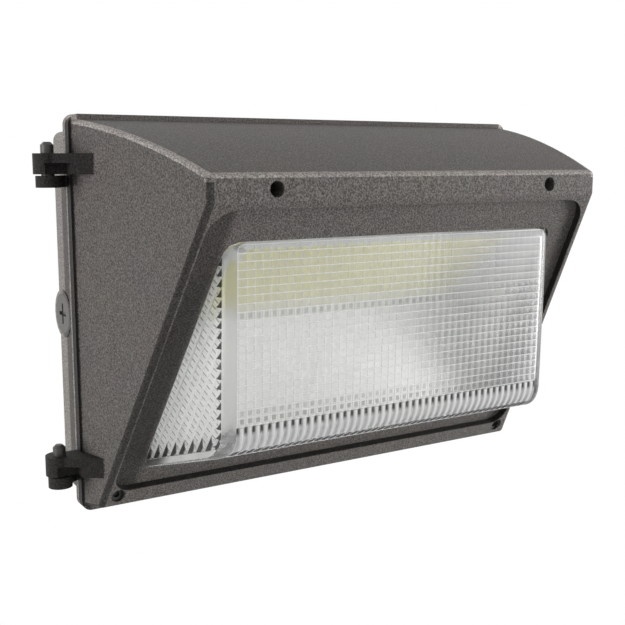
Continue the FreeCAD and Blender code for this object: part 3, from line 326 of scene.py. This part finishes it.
def paintedEdgeHighlights(tree, at):
    # painted highlights on every pressed edge: the waffle on the front, the crowns of the flutes, the
    # diamonds and a strip along the foot of each side, with a painted glow over the flutes
    rows = addNode(tree, mathNode, addNode(tree, rangeNode, at["row"], *pale["rowFrom"], **soft),
                   pale["row"], operation="MULTIPLY")
    columns = addNode(tree, mathNode, addNode(tree, rangeNode, at["column"], *pale["columnFrom"], **soft),
                      pale["column"], operation="MULTIPLY")
    ends = joined(tree, "MAXIMUM", *(
        addNode(tree, rangeNode, distance, *(limit + more for more in pale[step]), **soft)
        for distance, limit, step in (
            (addNode(tree, mathNode, at["across"], operation="ABSOLUTE"), grid["half"], "edgeFrom"),
            (at["along"], grid["length"], "endFrom"))))
    edges = addNode(tree, mathNode, ends, pale["edge"], operation="MULTIPLY")
    waffle = addNode(tree, mathNode, joined(tree, "MAXIMUM", rows, columns, edges), at["inGrid"],
                     operation="MULTIPLY")
    crowns = joined(tree, "MULTIPLY", at["flutes"], pale["crown"],
                    addNode(tree, rangeNode, at["column"], *pale["crownTo"], **soft))
    glow = addNode(tree, mathNode, at["flutes"], pale["glow"], operation="MULTIPLY")
    diamonds = joined(tree, "MULTIPLY", at["inSide"], pale["side"], addNode(
        tree, rangeNode, ridge(tree, at["slanted"], grid["sidePitch"]), *pale["diamondFrom"], **soft))
    strip = addNode(tree, mathNode, at["strip"], pale["strip"], operation="MULTIPLY")
    return joined(tree, "MAXIMUM", waffle, crowns, diamonds, strip, glow)


def paintedDarkShade(tree, at):
    # painted shade at the heads of the flutes
    heads = joined(tree, "MULTIPLY", at["front"],
                   window(tree, at["along"], dark["headFrom"], dark["headTo"]),
                   addNode(tree, rangeNode, at["column"], *dark["headShare"], **soft))
    # painted shade in teeth down the front corner, along the foot of the sides and slanting along the foot of
    # the front
    reach = addNode(tree, mathNode, shareOf(tree, at["along"], grid["sidePitch"]), dark["toothPower"],
                    operation="POWER")
    reach = addNode(tree, mathNode, addNode(tree, mathNode, reach, dark["toothReach"],
                                            operation="MULTIPLY"), at["edgeRun"], operation="SUBTRACT")
    corner = addNode(tree, mathNode, at["inSide"],
                     addNode(tree, rangeNode, reach, *dark["toothSoft"], **soft), operation="MULTIPLY")
    rise = addNode(tree, mathNode, at["step"], dark["footRise"], dark["footStart"],
                   operation="MULTIPLY_ADD")
    rise = addNode(tree, mathNode, rise, at["toFoot"], operation="SUBTRACT")
    foot = joined(tree, "MULTIPLY", at["inSide"], addNode(tree, rangeNode, rise, *dark["footSoft"], **soft),
                  addNode(tree, rangeNode, at["step"], *dark["footShare"], **soft))
    lean = addNode(tree, mathNode, at["toFoot"], dark["hemLean"], at["across"], operation="MULTIPLY_ADD")
    hem = joined(tree, "MULTIPLY", at["front"],
                 window(tree, at["toFoot"], dark["hemFrom"], dark["hemTo"]),
                 window(tree, shareOf(tree, lean, grid["columnPitch"]), dark["hemStart"], dark["hemEnd"]))
    # painted shade darkens the rear corner of each side, and the upright corner where it bends under the
    # waffle
    rear = joined(tree, "MULTIPLY", at["strip"], dark["rear"],
                  addNode(tree, rangeNode, at["slanted"], *dark["rearFrom"], **soft))
    bends = joined(tree, "MAXIMUM", *(window(tree, at["along"], *ends) for ends in dark["turnedPlaces"]))
    turned = joined(tree, "MULTIPLY", at["upright"], dark["turned"], bends)
    return joined(tree, "MAXIMUM", heads, corner, foot, hem, rear, turned)


def paintedGreyShade(tree, at):
    # painted grey shade in the cells of the last two rows of the waffle and of the row under the light of the
    # chips
    rows = joined(tree, "MAXIMUM", *(
        addNode(tree, mathNode, window(tree, at["along"], rise, fall), strength, operation="MULTIPLY")
        for rise, fall, strength in grey["rows"]))
    cells = joined(tree, "MULTIPLY", rows, at["front"], grey["cell"],
                   addNode(tree, rangeNode, at["column"], *grey["cellTo"], **soft))
    # painted shade: the far half of every column greys towards the right, where the lens is seen along its
    # ribs
    drift = joined(tree, "MULTIPLY", at["inGrid"], grey["drift"],
                   addNode(tree, rangeNode, at["across"], *grey["driftFrom"], **soft),
                   window(tree, at["share"], grey["stripeFrom"], grey["stripeTo"]))
    # painted grey shade in dashes on the sides, over the upper right of the front and on the upright corners
    dashes = joined(tree, "MULTIPLY", at["inSide"], grey["dash"],
                    addNode(tree, mathNode, at["step"], grey["dashShare"], operation="GREATER_THAN"),
                    addNode(tree, rangeNode, ridge(tree, at["level"], grid["levelPitch"]),
                            *grey["dashFrom"], **soft))
    upper = joined(tree, "MULTIPLY", at["front"], grey["upper"],
                   addNode(tree, rangeNode, at["across"], *grey["upperFrom"], **soft),
                   addNode(tree, rangeNode, at["along"], *grey["upperTo"], **soft))
    upright = addNode(tree, mathNode, at["upright"], grey["upright"], operation="MULTIPLY")
    return joined(tree, "MAXIMUM", cells, drift, dashes, upper, upright)


def pressedGlass():
    # pressed borosilicate glass: clear with a faint haze and softly rippled from the mould. Painted
    # highlights run along every pressed edge, and painted shade darkens part of each column, some cells and
    # the flute heads. The lines are a little broader than the real arrises, so that they show
    material, tree, place = newMaterial("pressedGlass")
    ripple = addNode(tree, "ShaderNodeTexNoise", place, named={
        "Scale": perMm(glass["ripple"]), "Detail": glass["rippleDetail"]})
    bump = addNode(tree, "ShaderNodeBump", named={
        "Strength": glass["rippleBump"], "Distance": glass["rippleRelief"] * mm, "Height": ripple})
    clear = addNode(tree, "ShaderNodeBsdfPrincipled", named={
        "Base Color": linear(glass["tint"]), "Roughness": glass["roughness"], "IOR": glass["ior"],
        "Transmission Weight": 1.0, "Normal": bump})
    at = lensPlaces(tree, place)
    lines, marks, cells = paintedEdgeHighlights(tree, at), paintedDarkShade(tree, at), paintedGreyShade(tree, at)
    # the haze's colour carries the painted shade and the painted highlights of the lens
    tones = (glass["hazeLight"], glass["hazeDark"], glass["hazeDark"], glass["hazeLight"])
    stripes = addNode(tree, "ShaderNodeValToRGB", at["share"], stops=zip(glass["hazeStops"], tones))
    edged = addNode(tree, "ShaderNodeMix", data_type="RGBA", named={
        "Factor": lines, "A": stripes, "B": linear(glass["line"])})
    between = addNode(tree, mathNode, addNode(tree, rangeNode, cells, *glass["shadeFrom"], **soft),
                      addNode(tree, mathNode, 1.0, lines, operation="SUBTRACT"), operation="MULTIPLY")
    shaded = addNode(tree, "ShaderNodeMix", data_type="RGBA", named={
        "Factor": between, "A": edged.outputs["Result"], "B": linear(glass["shade"])})
    rooted = addNode(tree, "ShaderNodeMix", data_type="RGBA", named={
        "Factor": marks, "A": shaded.outputs["Result"], "B": linear(glass["root"])})
    haze = addNode(tree, "ShaderNodeBsdfPrincipled", named={
        "Base Color": rooted.outputs["Result"], "Roughness": glass["hazeRoughness"], "IOR": glass["ior"],
        "Specular IOR Level": glass["hazeSpecular"]})
    strong = joined(tree, "MAXIMUM", lines, cells,
                    addNode(tree, mathNode, marks, glass["rootShare"], operation="MULTIPLY"))
    amount = addNode(tree, mathNode, strong, 1.0 - glass["haze"], glass["haze"], operation="MULTIPLY_ADD")
    amount = addNode(tree, mathNode, amount, at["outer"], operation="MULTIPLY")
    solid = addNode(tree, "ShaderNodeMixShader", amount, clear, haze)
    # shadow rays pass straight through, so that the tray behind is lit without caustics
    through = addNode(tree, "ShaderNodeBsdfTransparent", linear(glass["shadow"]))
    path = addNode(tree, "ShaderNodeLightPath").outputs
    mix = addNode(tree, "ShaderNodeMixShader", path["Is Shadow Ray"], solid, through)
    addNode(tree, "ShaderNodeOutputMaterial", mix)
    return material


phosphor = {"colours": ("#d3cb62", "#e0d873"), "toneStops": (0.3, 0.7), "mottle": 1.6, "roughness": 0.32,
            "ior": 1.42}


def ledPhosphor():
    # yellow phosphor in clear silicone, poured into each LED package: smooth, satin and slightly mottled
    material, tree, place = newMaterial("ledPhosphor")
    noise = addNode(tree, "ShaderNodeTexNoise", place, named={"Scale": perMm(phosphor["mottle"])})
    tone = addNode(tree, "ShaderNodeValToRGB", noise,
                   stops=zip(phosphor["toneStops"], phosphor["colours"]))
    surface = addNode(tree, "ShaderNodeBsdfPrincipled", named={
        "Base Color": tone, "Roughness": phosphor["roughness"], "IOR": phosphor["ior"]})
    addNode(tree, "ShaderNodeOutputMaterial", surface)
    return material


finishes = {
    "coat": powderCoatBronze(),
    # turned steel, painted over and rubbed by the door arms: dark, with a duller sheen than bare steel
    "pin": speckledMaterial("darkenedPinSteel", ("#3a3735", "#4b4846"), 0.8, 0.42, 0.06),
    # zinc die casting, painted: the same bronze as the box, smoother and a shade darker
    "plug": speckledMaterial("castZincPlug", ("#4a4745", "#5d5a57"), 1.0, 0.45, 0.12),
    # black oxide on steel: nearly black with an oily sheen
    "blackSteel": speckledMaterial("blackOxideSteel", ("#0d0d0d", "#191919"), 0.6, 0.4, 0.04),
    # bright zinc plate on steel: pale grey metal with a faint cloudiness
    "zinc": speckledMaterial("zincPlatedSteel", ("#b9b8b2", "#cfcec8"), 1.4, 0.3, 0.03, metallic=1.0),
    # moulded nitrile rubber: black and matt
    "rubber": speckledMaterial("blackRubber", ("#141414", "#1e1e1e"), 1.2, 0.62, 0.06),
    # extruded silicone: off-white with a soft sheen
    "silicone": speckledMaterial("whiteSilicone", ("#cfcec8", "#dcdbd5"), 1.6, 0.5, 0.06),
    # rolled spring steel: bright, with the rolling lines along the strip
    "spring": speckledMaterial("springSteel", ("#b3b2ac", "#c9c8c2"), 1.0, 0.28, 0.02, metallic=1.0,
                               stretch=(0.05, 1.0, 1.0)),
    # white enamel baked on sheet steel: even, bright and glossy
    "tray": speckledMaterial("whiteEnamelSheet", ("#dcdcda", "#e4e4e2"), 3.0, 0.3, 0.03),
    # white solder mask on an aluminium board: plain white and satin
    "board": speckledMaterial("whiteSolderMask", ("#d6d7d5", "#dedfdd"), 2.0, 0.35, 0.02),
    # moulded nylon: warm white, slightly waxy
    "connector": speckledMaterial("whiteNylon", ("#e4e2d8", "#eeece4"), 1.0, 0.4, 0.03),
    # extruded and anodised aluminium: pale metal with fine die lines along its length
    "driver": speckledMaterial("anodisedAluminium", ("#a9abad", "#bcbec0"), 1.0, 0.34, 0.04, metallic=1.0,
                               stretch=(0.04, 1.0, 1.0)),
    # potted epoxy: black with a smooth, slightly uneven skin
    "surge": speckledMaterial("blackEpoxyCase", ("#161617", "#202021"), 1.4, 0.36, 0.08),
    # moulded natural polyamide: cream and satin
    "terminal": speckledMaterial("naturalPolyamide", ("#d8d4c6", "#e3dfd2"), 1.6, 0.42, 0.06),
    # green passivation over zinc plate: dyed green with metal showing through
    "ground": speckledMaterial("greenPassivatedSteel", ("#17602c", "#1f7a3a"), 0.8, 0.34, 0.03,
                               metallic=0.4),
    "phosphor": ledPhosphor(),
    "glass": pressedGlass(),
}

# the pieces that wear each finish
wornBy = {
    "coat": ["back_box", "door_frame"],
    "pin": ["upper_hinge_pin", "lower_hinge_pin"],
    "plug": ["conduit_plug_left", "conduit_plug_right"],
    "blackSteel": ["door_screw_upper_left", "door_screw_upper_right", "door_screw_lower_left",
                   "door_screw_lower_right"],
    "zinc": ["reflector_screws", "led_board_screws", "driver_screws", "surge_screws", "terminal_screws"],
    "rubber": ["plug_seals", "wire_entry_grommet"],
    "silicone": ["door_gasket", "lens_gasket"],
    "spring": ["lens_clips"], "tray": ["reflector"], "board": ["led_board"],
    "connector": ["led_connector"], "driver": ["led_driver"], "surge": ["surge_protector"],
    "terminal": ["terminal_block"], "ground": ["ground_screw"], "phosphor": ["led_chips"],
    "glass": ["lens"],
}
for finish, names in wornBy.items():
    for name in names:
        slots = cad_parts[name].data.materials
        slots.clear()
        slots.append(finishes[finish])
print("finishes set")


# the prismatic lens, in mm: its place in the opening, its profile, its cuts and its relief
lens = {
    "openingInset": 21.8, "clearance": 0.7, "top": 27.0, "bottomMargin": 21.9, "recess": 5.0, "rise": 3.2,
    "toe": 67.5, "bend": 18.0, "corner": 7.0, "cornerShare": 0.75, "plateCorner": 9.0, "plateReach": 12.0,
    "wall": 3.6, "edgeLean": 1.1, "toeLean": 1.05, "outerBack": 9.5, "innerBack": 13.0, "margin": 1.0,
    "sideCount": 62, "innerSideCount": 16, "innerFrontCount": 40, "cornerCount": 6, "leastBends": 4,
    "bendStep": 1.2, "footStep": 1.5, "innerStep": 4.0, "lastCut": 0.4, "gridGap": 0.1, "weld": 0.01,
    "columnRelief": 0.02, "rowRelief": 0.1, "fluteRelief": 0.95, "sideRelief": 0.35, "ribPower": 2.0,
    "gridStart": -0.2,
}
columnPlaces = (0.0, 0.1, 0.3, 0.5, 0.7, 0.9)     # the cuts in each column and row, as shares of the pitch
rowPlaces = (0.0, 0.1, 0.5, 0.9)


def slantPoint(down, inward):
    # (y, z) in mm of a point down the slanted face and behind it
    return Vector((-door["faceOut"] + down * slantSin + inward * slantCos,
                   door["kneeHeight"] - down * slantCos + inward * slantSin))


def slantDown(y, z):
    return (y + door["faceOut"]) * slantSin - (z - door["kneeHeight"]) * slantCos


def spread(first, last, step):
    # points after the first one up to the last one, evenly apart
    count = max(int((last - first).length / step), 2)
    return [first.lerp(last, n / count) for n in range(1, count + 1)]


def lensPath(depth, back):
    # the side profile, in mm: from the top of the opening down the front, round the bend, back to the foot
    top = lens["top"] + lens["clearance"] + depth * lens["edgeLean"]
    bottom = slantLength - lens["bottomMargin"] - lens["clearance"] - depth * lens["edgeLean"]
    start, shoulder = slantPoint(top, back), slantPoint(top, lens["recess"] + depth)
    toe = Vector((shoulder.x + lens["rise"], -lens["toe"] + depth * lens["toeLean"]))
    foot, end = slantPoint(bottom, lens["recess"] + depth), slantPoint(bottom, back)
    down, away = (toe - shoulder).normalized(), (foot - toe).normalized()
    turn = down.angle(away)
    radius = lens["bend"] - depth
    reach = radius * math.tan(turn / 2)
    first, last = toe - down * reach, toe + away * reach
    centre = first + Vector((-down.y, down.x)) * radius
    points = [start, shoulder]
    if depth:
        points += spread(shoulder, first, lens["innerStep"])
    else:
        places = [lens["margin"] + grid["rowPitch"] * (row + share)
                  for row in range(int(grid["length"] / grid["rowPitch"]) + 1) for share in rowPlaces]
        length = (first - shoulder).length - lens["lastCut"]
        points += [shoulder + down * place for place in places if place < length] + [first]
    base = math.atan2(first.y - centre.y, first.x - centre.x)
    bendStep = lens["innerStep"] if depth else lens["bendStep"]
    bends = max(int(radius * turn / bendStep), lens["leastBends"])
    for n in range(1, bends + 1):
        angle = base + turn * n / bends
        points.append(centre + Vector((math.cos(angle), math.sin(angle))) * radius)
    return points + spread(last, foot, lens["innerStep"] if depth else lens["footStep"]) + [end]


def lensHalf(y, depth):
    # half the width of the lens at a distance y, from the taper of its sides
    sunk = door["sideSlope"] * lens["recess"] * slantCos
    inset = lens["openingInset"] + lens["clearance"] + sunk + depth
    return door["faceHalf"] + door["sideSlope"] * (y + door["faceOut"]) - inset


def plateHalf(down, depth):
    # the rounded outline of the opening, which the lens follows where it passes through
    corner = lens["plateCorner"] - lens["clearance"] - depth
    top = lens["top"] + lens["clearance"] + depth
    bottom = slantLength - lens["bottomMargin"] - lens["clearance"] - depth
    edge = min(max(down - top, 0), max(bottom - down, 0))
    cutOff = corner - math.sqrt(max(corner ** 2 - (corner - edge) ** 2, 0)) if edge < corner else 0
    half = door["faceHalf"] + door["sideSlope"] * down * slantSin
    return half - lens["openingInset"] - lens["clearance"] - depth - cutOff


def frontPlaces(half, depth):
    # the cuts across the front: six to a column outside, evenly apart inside
    if depth:
        count = lens["innerFrontCount"]
        return [-half + 2 * half * n / count for n in range(count + 1)]
    count = int(grid["half"] / grid["columnPitch"])
    places = [grid["columnPitch"] * (column + share) for column in range(-count, count)
              for share in columnPlaces]
    return [place * half / grid["half"] for place in places + [grid["half"]]]


def lensRow(y, z, depth, back):
    # one level cut through the lens, as (x, y, zone, distance back from the front corner): zone is 0 on the
    # front, 0.5 on a corner and 1 on a side
    slope = door["sideSlope"]
    lean = math.atan(slope)
    turn = math.pi / 2 - lean
    half = lensHalf(y, depth)
    endY = -door["faceOut"] + (back - (z - door["kneeHeight"]) * slantSin) / slantCos
    wall = max((endY - y) * math.sqrt(1 + slope * slope), 0.0)
    radius = min(lens["corner"] - depth, lens["cornerShare"] * wall)
    reach = radius * math.tan(turn / 2)
    if wall < lens["plateReach"]:
        half = min(half, plateHalf(slantDown(y, z), depth))
    sideCount = lens["innerSideCount"] if depth else lens["sideCount"]
    side = []
    for n in range(sideCount + 1):
        run = wall + (reach - wall) * n / sideCount
        side.append((-(half + run * math.sin(lean)), y + run * math.cos(lean), 1.0, run - reach))
    for n in range(1, lens["cornerCount"] + 1):
        angle = math.pi + lean + turn * n / lens["cornerCount"]
        side.append((-(half - reach) + radius * math.cos(angle), y + radius + radius * math.sin(angle),
                     0.5, 0.0))
    gridHalf = min(grid["half"] - depth, half - reach - lens["gridGap"])
    front = [(place, y, 0.0, 0.0) for place in frontPlaces(gridHalf, depth)]
    return side + front + [(-x, deep, zone, run) for x, deep, zone, run in reversed(side)]


def lensShell(depth, back, name):
    # a sheet of faces over the outer or inner side: one level cut for each point of the path. Each point
    # keeps where it lies, for the relief and the glass: the inner side has a zone of its own, -1
    path = lensPath(depth, back)
    shape = bmesh.new()
    layers = {key: shape.verts.layers.float.new(key)
              for key in ("across", "along", "zone", "edgeRun", "toFoot")}
    foot, toe = path[-2], Vector((path[1].x + lens["rise"], -lens["toe"]))
    under = (toe - foot).normalized()
    whole = sum((b - a).length for a, b in zip(path, path[1:-1]))
    gridTop = (path[1] - path[0]).length + lens["margin"]
    rows, walked, last = [], 0.0, path[0]
    for point in path:
        walked += (point - last).length
        last = point
        row = []
        for x, y, zone, edgeRun in lensRow(point.x, point.y, depth, back):
            zone = -1.0 if depth else zone
            limit = plateHalf(slantDown(y, point.y), depth)
            x = max(min(x, limit), -limit)
            toFoot = under.y * (y - foot.x) - under.x * (point.y - foot.y)
            kept = {"across": x, "along": walked - gridTop, "zone": zone, "edgeRun": edgeRun,
                    "toFoot": whole - walked if zone < zones["side"] else toFoot}
            vertex = shape.verts.new((x * mm, y * mm, point.y * mm))
            for key, value in kept.items():
                vertex[layers[key]] = value
            row.append(vertex)
        rows.append(row)
    for upper, lower in zip(rows, rows[1:]):
        for n in range(len(upper) - 1):
            shape.faces.new((upper[n], lower[n], lower[n + 1], upper[n + 1])).smooth = True
    mesh = bpy.data.meshes.new(name)
    shape.to_mesh(mesh)
    shape.free()
    return mesh


def prismTree(sizes):
    # presses the outer side in along its normal: a waffle on the front, flutes below, diamonds on the sides
    tree = bpy.data.node_groups.new("prismRelief", "GeometryNodeTree")
    face = tree.interface
    face.new_socket("Geometry", in_out="INPUT", socket_type="NodeSocketGeometry")
    for name in sizes:
        face.new_socket(name, in_out="INPUT", socket_type="NodeSocketFloat")
    face.new_socket("Glass", in_out="INPUT", socket_type="NodeSocketMaterial")
    face.new_socket("Geometry", in_out="OUTPUT", socket_type="NodeSocketGeometry")
    given = addNode(tree, "NodeGroupInput").outputs
    across, along, zone = (
        addNode(tree, "GeometryNodeInputNamedAttribute", data_type="FLOAT",
                named={"Name": name}).outputs["Attribute"] for name in ("across", "along", "zone"))
    inGrid = addNode(tree, mathNode,
                     addNode(tree, mathNode, along, lens["gridStart"], operation="GREATER_THAN"),
                     addNode(tree, mathNode, along, given["Grid Length"], operation="LESS_THAN"),
                     operation="MULTIPLY")
    below = addNode(tree, mathNode, along, given["Grid Length"], operation="GREATER_THAN")
    ribs = addNode(tree, mathNode, inGrid, given["Column Relief"],
                   addNode(tree, mathNode, below, given["Flute Relief"], operation="MULTIPLY"),
                   operation="MULTIPLY_ADD")
    columns = addNode(tree, mathNode, ribs, addNode(
        tree, mathNode, ridge(tree, across, given["Column Pitch"]), lens["ribPower"], operation="POWER"),
        operation="MULTIPLY")
    rows = joined(tree, "MULTIPLY", inGrid, given["Row Relief"], addNode(
        tree, mathNode, ridge(tree, along, given["Row Pitch"]), lens["ribPower"], operation="POWER"))
    front = addNode(tree, mathNode, addNode(tree, mathNode, columns, rows, operation="ADD"),
                    addNode(tree, mathNode, zone, zones["front"], operation="LESS_THAN"),
                    operation="MULTIPLY")
    x, y, z = addNode(tree, "ShaderNodeSeparateXYZ", addNode(tree, "GeometryNodeInputPosition")).outputs
    slanted = leaning(tree, y, z, (slantCos / mm, slantSin / mm))
    level = leaning(tree, y, z, [share / mm for share in grid["levelLean"]])
    diamonds = addNode(tree, mathNode, ridge(tree, slanted, given["Side Pitch"]),
                       ridge(tree, level, given["Level Pitch"]), operation="MAXIMUM")
    side = joined(tree, "MULTIPLY", diamonds, given["Side Relief"],
                  addNode(tree, mathNode, zone, zones["side"], operation="GREATER_THAN"))
    depth = addNode(tree, mathNode, addNode(tree, mathNode, front, side, operation="ADD"), -mm,
                    operation="MULTIPLY")
    offset = addNode(tree, "ShaderNodeVectorMath", addNode(tree, "GeometryNodeInputNormal"),
                     named={"Scale": depth}, operation="SCALE")
    moved = addNode(tree, "GeometryNodeSetPosition", given["Geometry"], named={"Offset": offset})
    real = addNode(tree, "GeometryNodeRealizeInstances", moved)
    glazed = addNode(tree, "GeometryNodeSetMaterial", real, named={"Material": given["Glass"]})
    addNode(tree, "NodeGroupOutput", glazed)
    return tree


def addObject(name, data):
    obj = bpy.data.objects.new(name, data)
    bpy.context.scene.collection.objects.link(obj)
    return obj


def plainMesh(obj, tree, values):
    # the object's mesh after a geometry tree with these inputs, with no modifier left
    modifier = obj.modifiers.new(tree.name, "NODES")
    modifier.node_group = tree
    for item in tree.interface.items_tree:
        if item.in_out == "INPUT" and item.name in values:
            modifier[item.identifier] = values[item.name]
    mesh = bpy.data.meshes.new_from_object(obj.evaluated_get(bpy.context.evaluated_depsgraph_get()))
    obj.modifiers.clear()
    return mesh


def buildLens():
    outer = addObject("lensOuter", lensShell(0.0, lens["outerBack"], "lensOuter"))
    sizes = {"Column Pitch": grid["columnPitch"], "Row Pitch": grid["rowPitch"],
             "Column Relief": lens["columnRelief"], "Row Relief": lens["rowRelief"],
             "Flute Relief": lens["fluteRelief"], "Side Relief": lens["sideRelief"],
             "Side Pitch": grid["sidePitch"], "Level Pitch": grid["levelPitch"],
             "Grid Length": grid["length"]}
    pressed = plainMesh(outer, prismTree(sizes), {**sizes, "Glass": finishes["glass"]})
    bpy.data.objects.remove(outer)
    shape = bmesh.new()
    shape.from_mesh(pressed)
    outerFaces = len(shape.faces)
    shape.from_mesh(lensShell(lens["wall"], lens["innerBack"], "lensInner"))
    shape.faces.ensure_lookup_table()
    bmesh.ops.reverse_faces(shape, faces=shape.faces[outerFaces:])
    bmesh.ops.remove_doubles(shape, verts=shape.verts, dist=lens["weld"] * mm)
    for glassFace in shape.faces:
        glassFace.smooth = True
    mesh = bpy.data.meshes.new("prismLens")
    shape.to_mesh(mesh)
    shape.free()
    mesh.materials.append(finishes["glass"])
    return addObject("prismLens", mesh)


prismLens = buildLens()
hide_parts("lens")
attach(prismLens, "door")
print("lens built,", len(prismLens.data.polygons), "faces")


# the floor's drop below the wall light and its size are in metres
stage = {"floorDrop": 0.42, "floorSize": 8.0, "white": "#ffffff", "room": "#f4f6f8", "floor": "#c9c9c9",
         "ambient": 0.32}


def straightView(tree):
    # 1 where the camera, a reflection or a refraction looks straight at the floor or the room
    path = addNode(tree, "ShaderNodeLightPath").outputs
    return joined(tree, "MAXIMUM", path["Is Camera Ray"], path["Is Glossy Ray"],
                  path["Is Transmission Ray"])


def buildStage():
    scene = bpy.context.scene
    scene.view_settings.view_transform = "Standard"
    scene.world = bpy.data.worlds.new("paleRoom")
    scene.world.use_nodes = True
    tree = scene.world.node_tree
    tree.nodes.clear()
    room = addNode(tree, "ShaderNodeBackground", linear(stage["room"]), stage["ambient"])
    white = addNode(tree, "ShaderNodeBackground", linear(stage["white"]), 1.0)
    addNode(tree, "ShaderNodeOutputWorld",
            addNode(tree, "ShaderNodeMixShader", straightView(tree), room, white))

    half, level = stage["floorSize"] / 2, -stage["floorDrop"]
    mesh = bpy.data.meshes.new("floor")
    mesh.from_pydata([(-half, -half, level), (half, -half, level), (half, half, level),
                      (-half, half, level)], [], [(0, 1, 2, 3)])
    # matt pale floor: grey to the light that it bounces, so that it takes the shadow, and white to look at
    material, tree = newMaterial("paleFloor")[:2]
    matt = addNode(tree, "ShaderNodeBsdfDiffuse", linear(stage["floor"]))
    glow = addNode(tree, "ShaderNodeEmission", linear(stage["white"]), 1.0)
    addNode(tree, "ShaderNodeOutputMaterial",
            addNode(tree, "ShaderNodeMixShader", straightView(tree), matt, glow))
    mesh.materials.append(material)
    addObject("floor", mesh)


# square lamps: places and aims in metres, power in watts
lamps = [
    {"name": "overhead", "place": (1.3, -0.8, 1.2), "aim": (0.0, -0.1, 0.0), "size": 0.9, "power": 3.0},
    {"name": "rimBehind", "place": (-0.3, 1.5, 0.95), "aim": (0.0, -0.05, 0.05), "size": 0.7, "power": 4.0},
    {"name": "frontKey", "place": (1.7, -1.2, 0.1), "aim": (0.0, -0.1, 0.0), "size": 0.9, "power": 40.0},
    {"name": "leftSoft", "place": (-2.1, -0.05, 0.1), "aim": (0.0, -0.1, 0.0), "size": 1.2, "power": 27.0},
]


def buildLamps():
    for lamp in lamps:
        light = bpy.data.lights.new(lamp["name"], "AREA")
        light.size, light.energy = lamp["size"], lamp["power"]
        obj = addObject(lamp["name"], light)
        obj.location = lamp["place"]
        aim = Vector(lamp["aim"]) - Vector(lamp["place"])
        obj.rotation_euler = aim.to_track_quat("-Z", "Y").to_euler()


# the photograph's viewing angle: place in metres, turns in degrees, lens and sensor in mm
view = {"place": (-0.3481, -0.5924, 0.0922), "pitch": 81.13, "yaw": -31.98, "lens": 56.45, "sensor": 36.0,
        "clipStart": 0.01}


def buildCamera():
    camera = bpy.data.cameras.new("viewer")
    camera.sensor_width, camera.lens, camera.clip_start = view["sensor"], view["lens"], view["clipStart"]
    obj = addObject("viewer", camera)
    obj.location = view["place"]
    obj.rotation_euler = (math.radians(view["pitch"]), 0.0, math.radians(view["yaw"]))
    bpy.context.scene.camera = obj


buildStage()
buildLamps()
buildCamera()
print("stage, lamps and camera set")
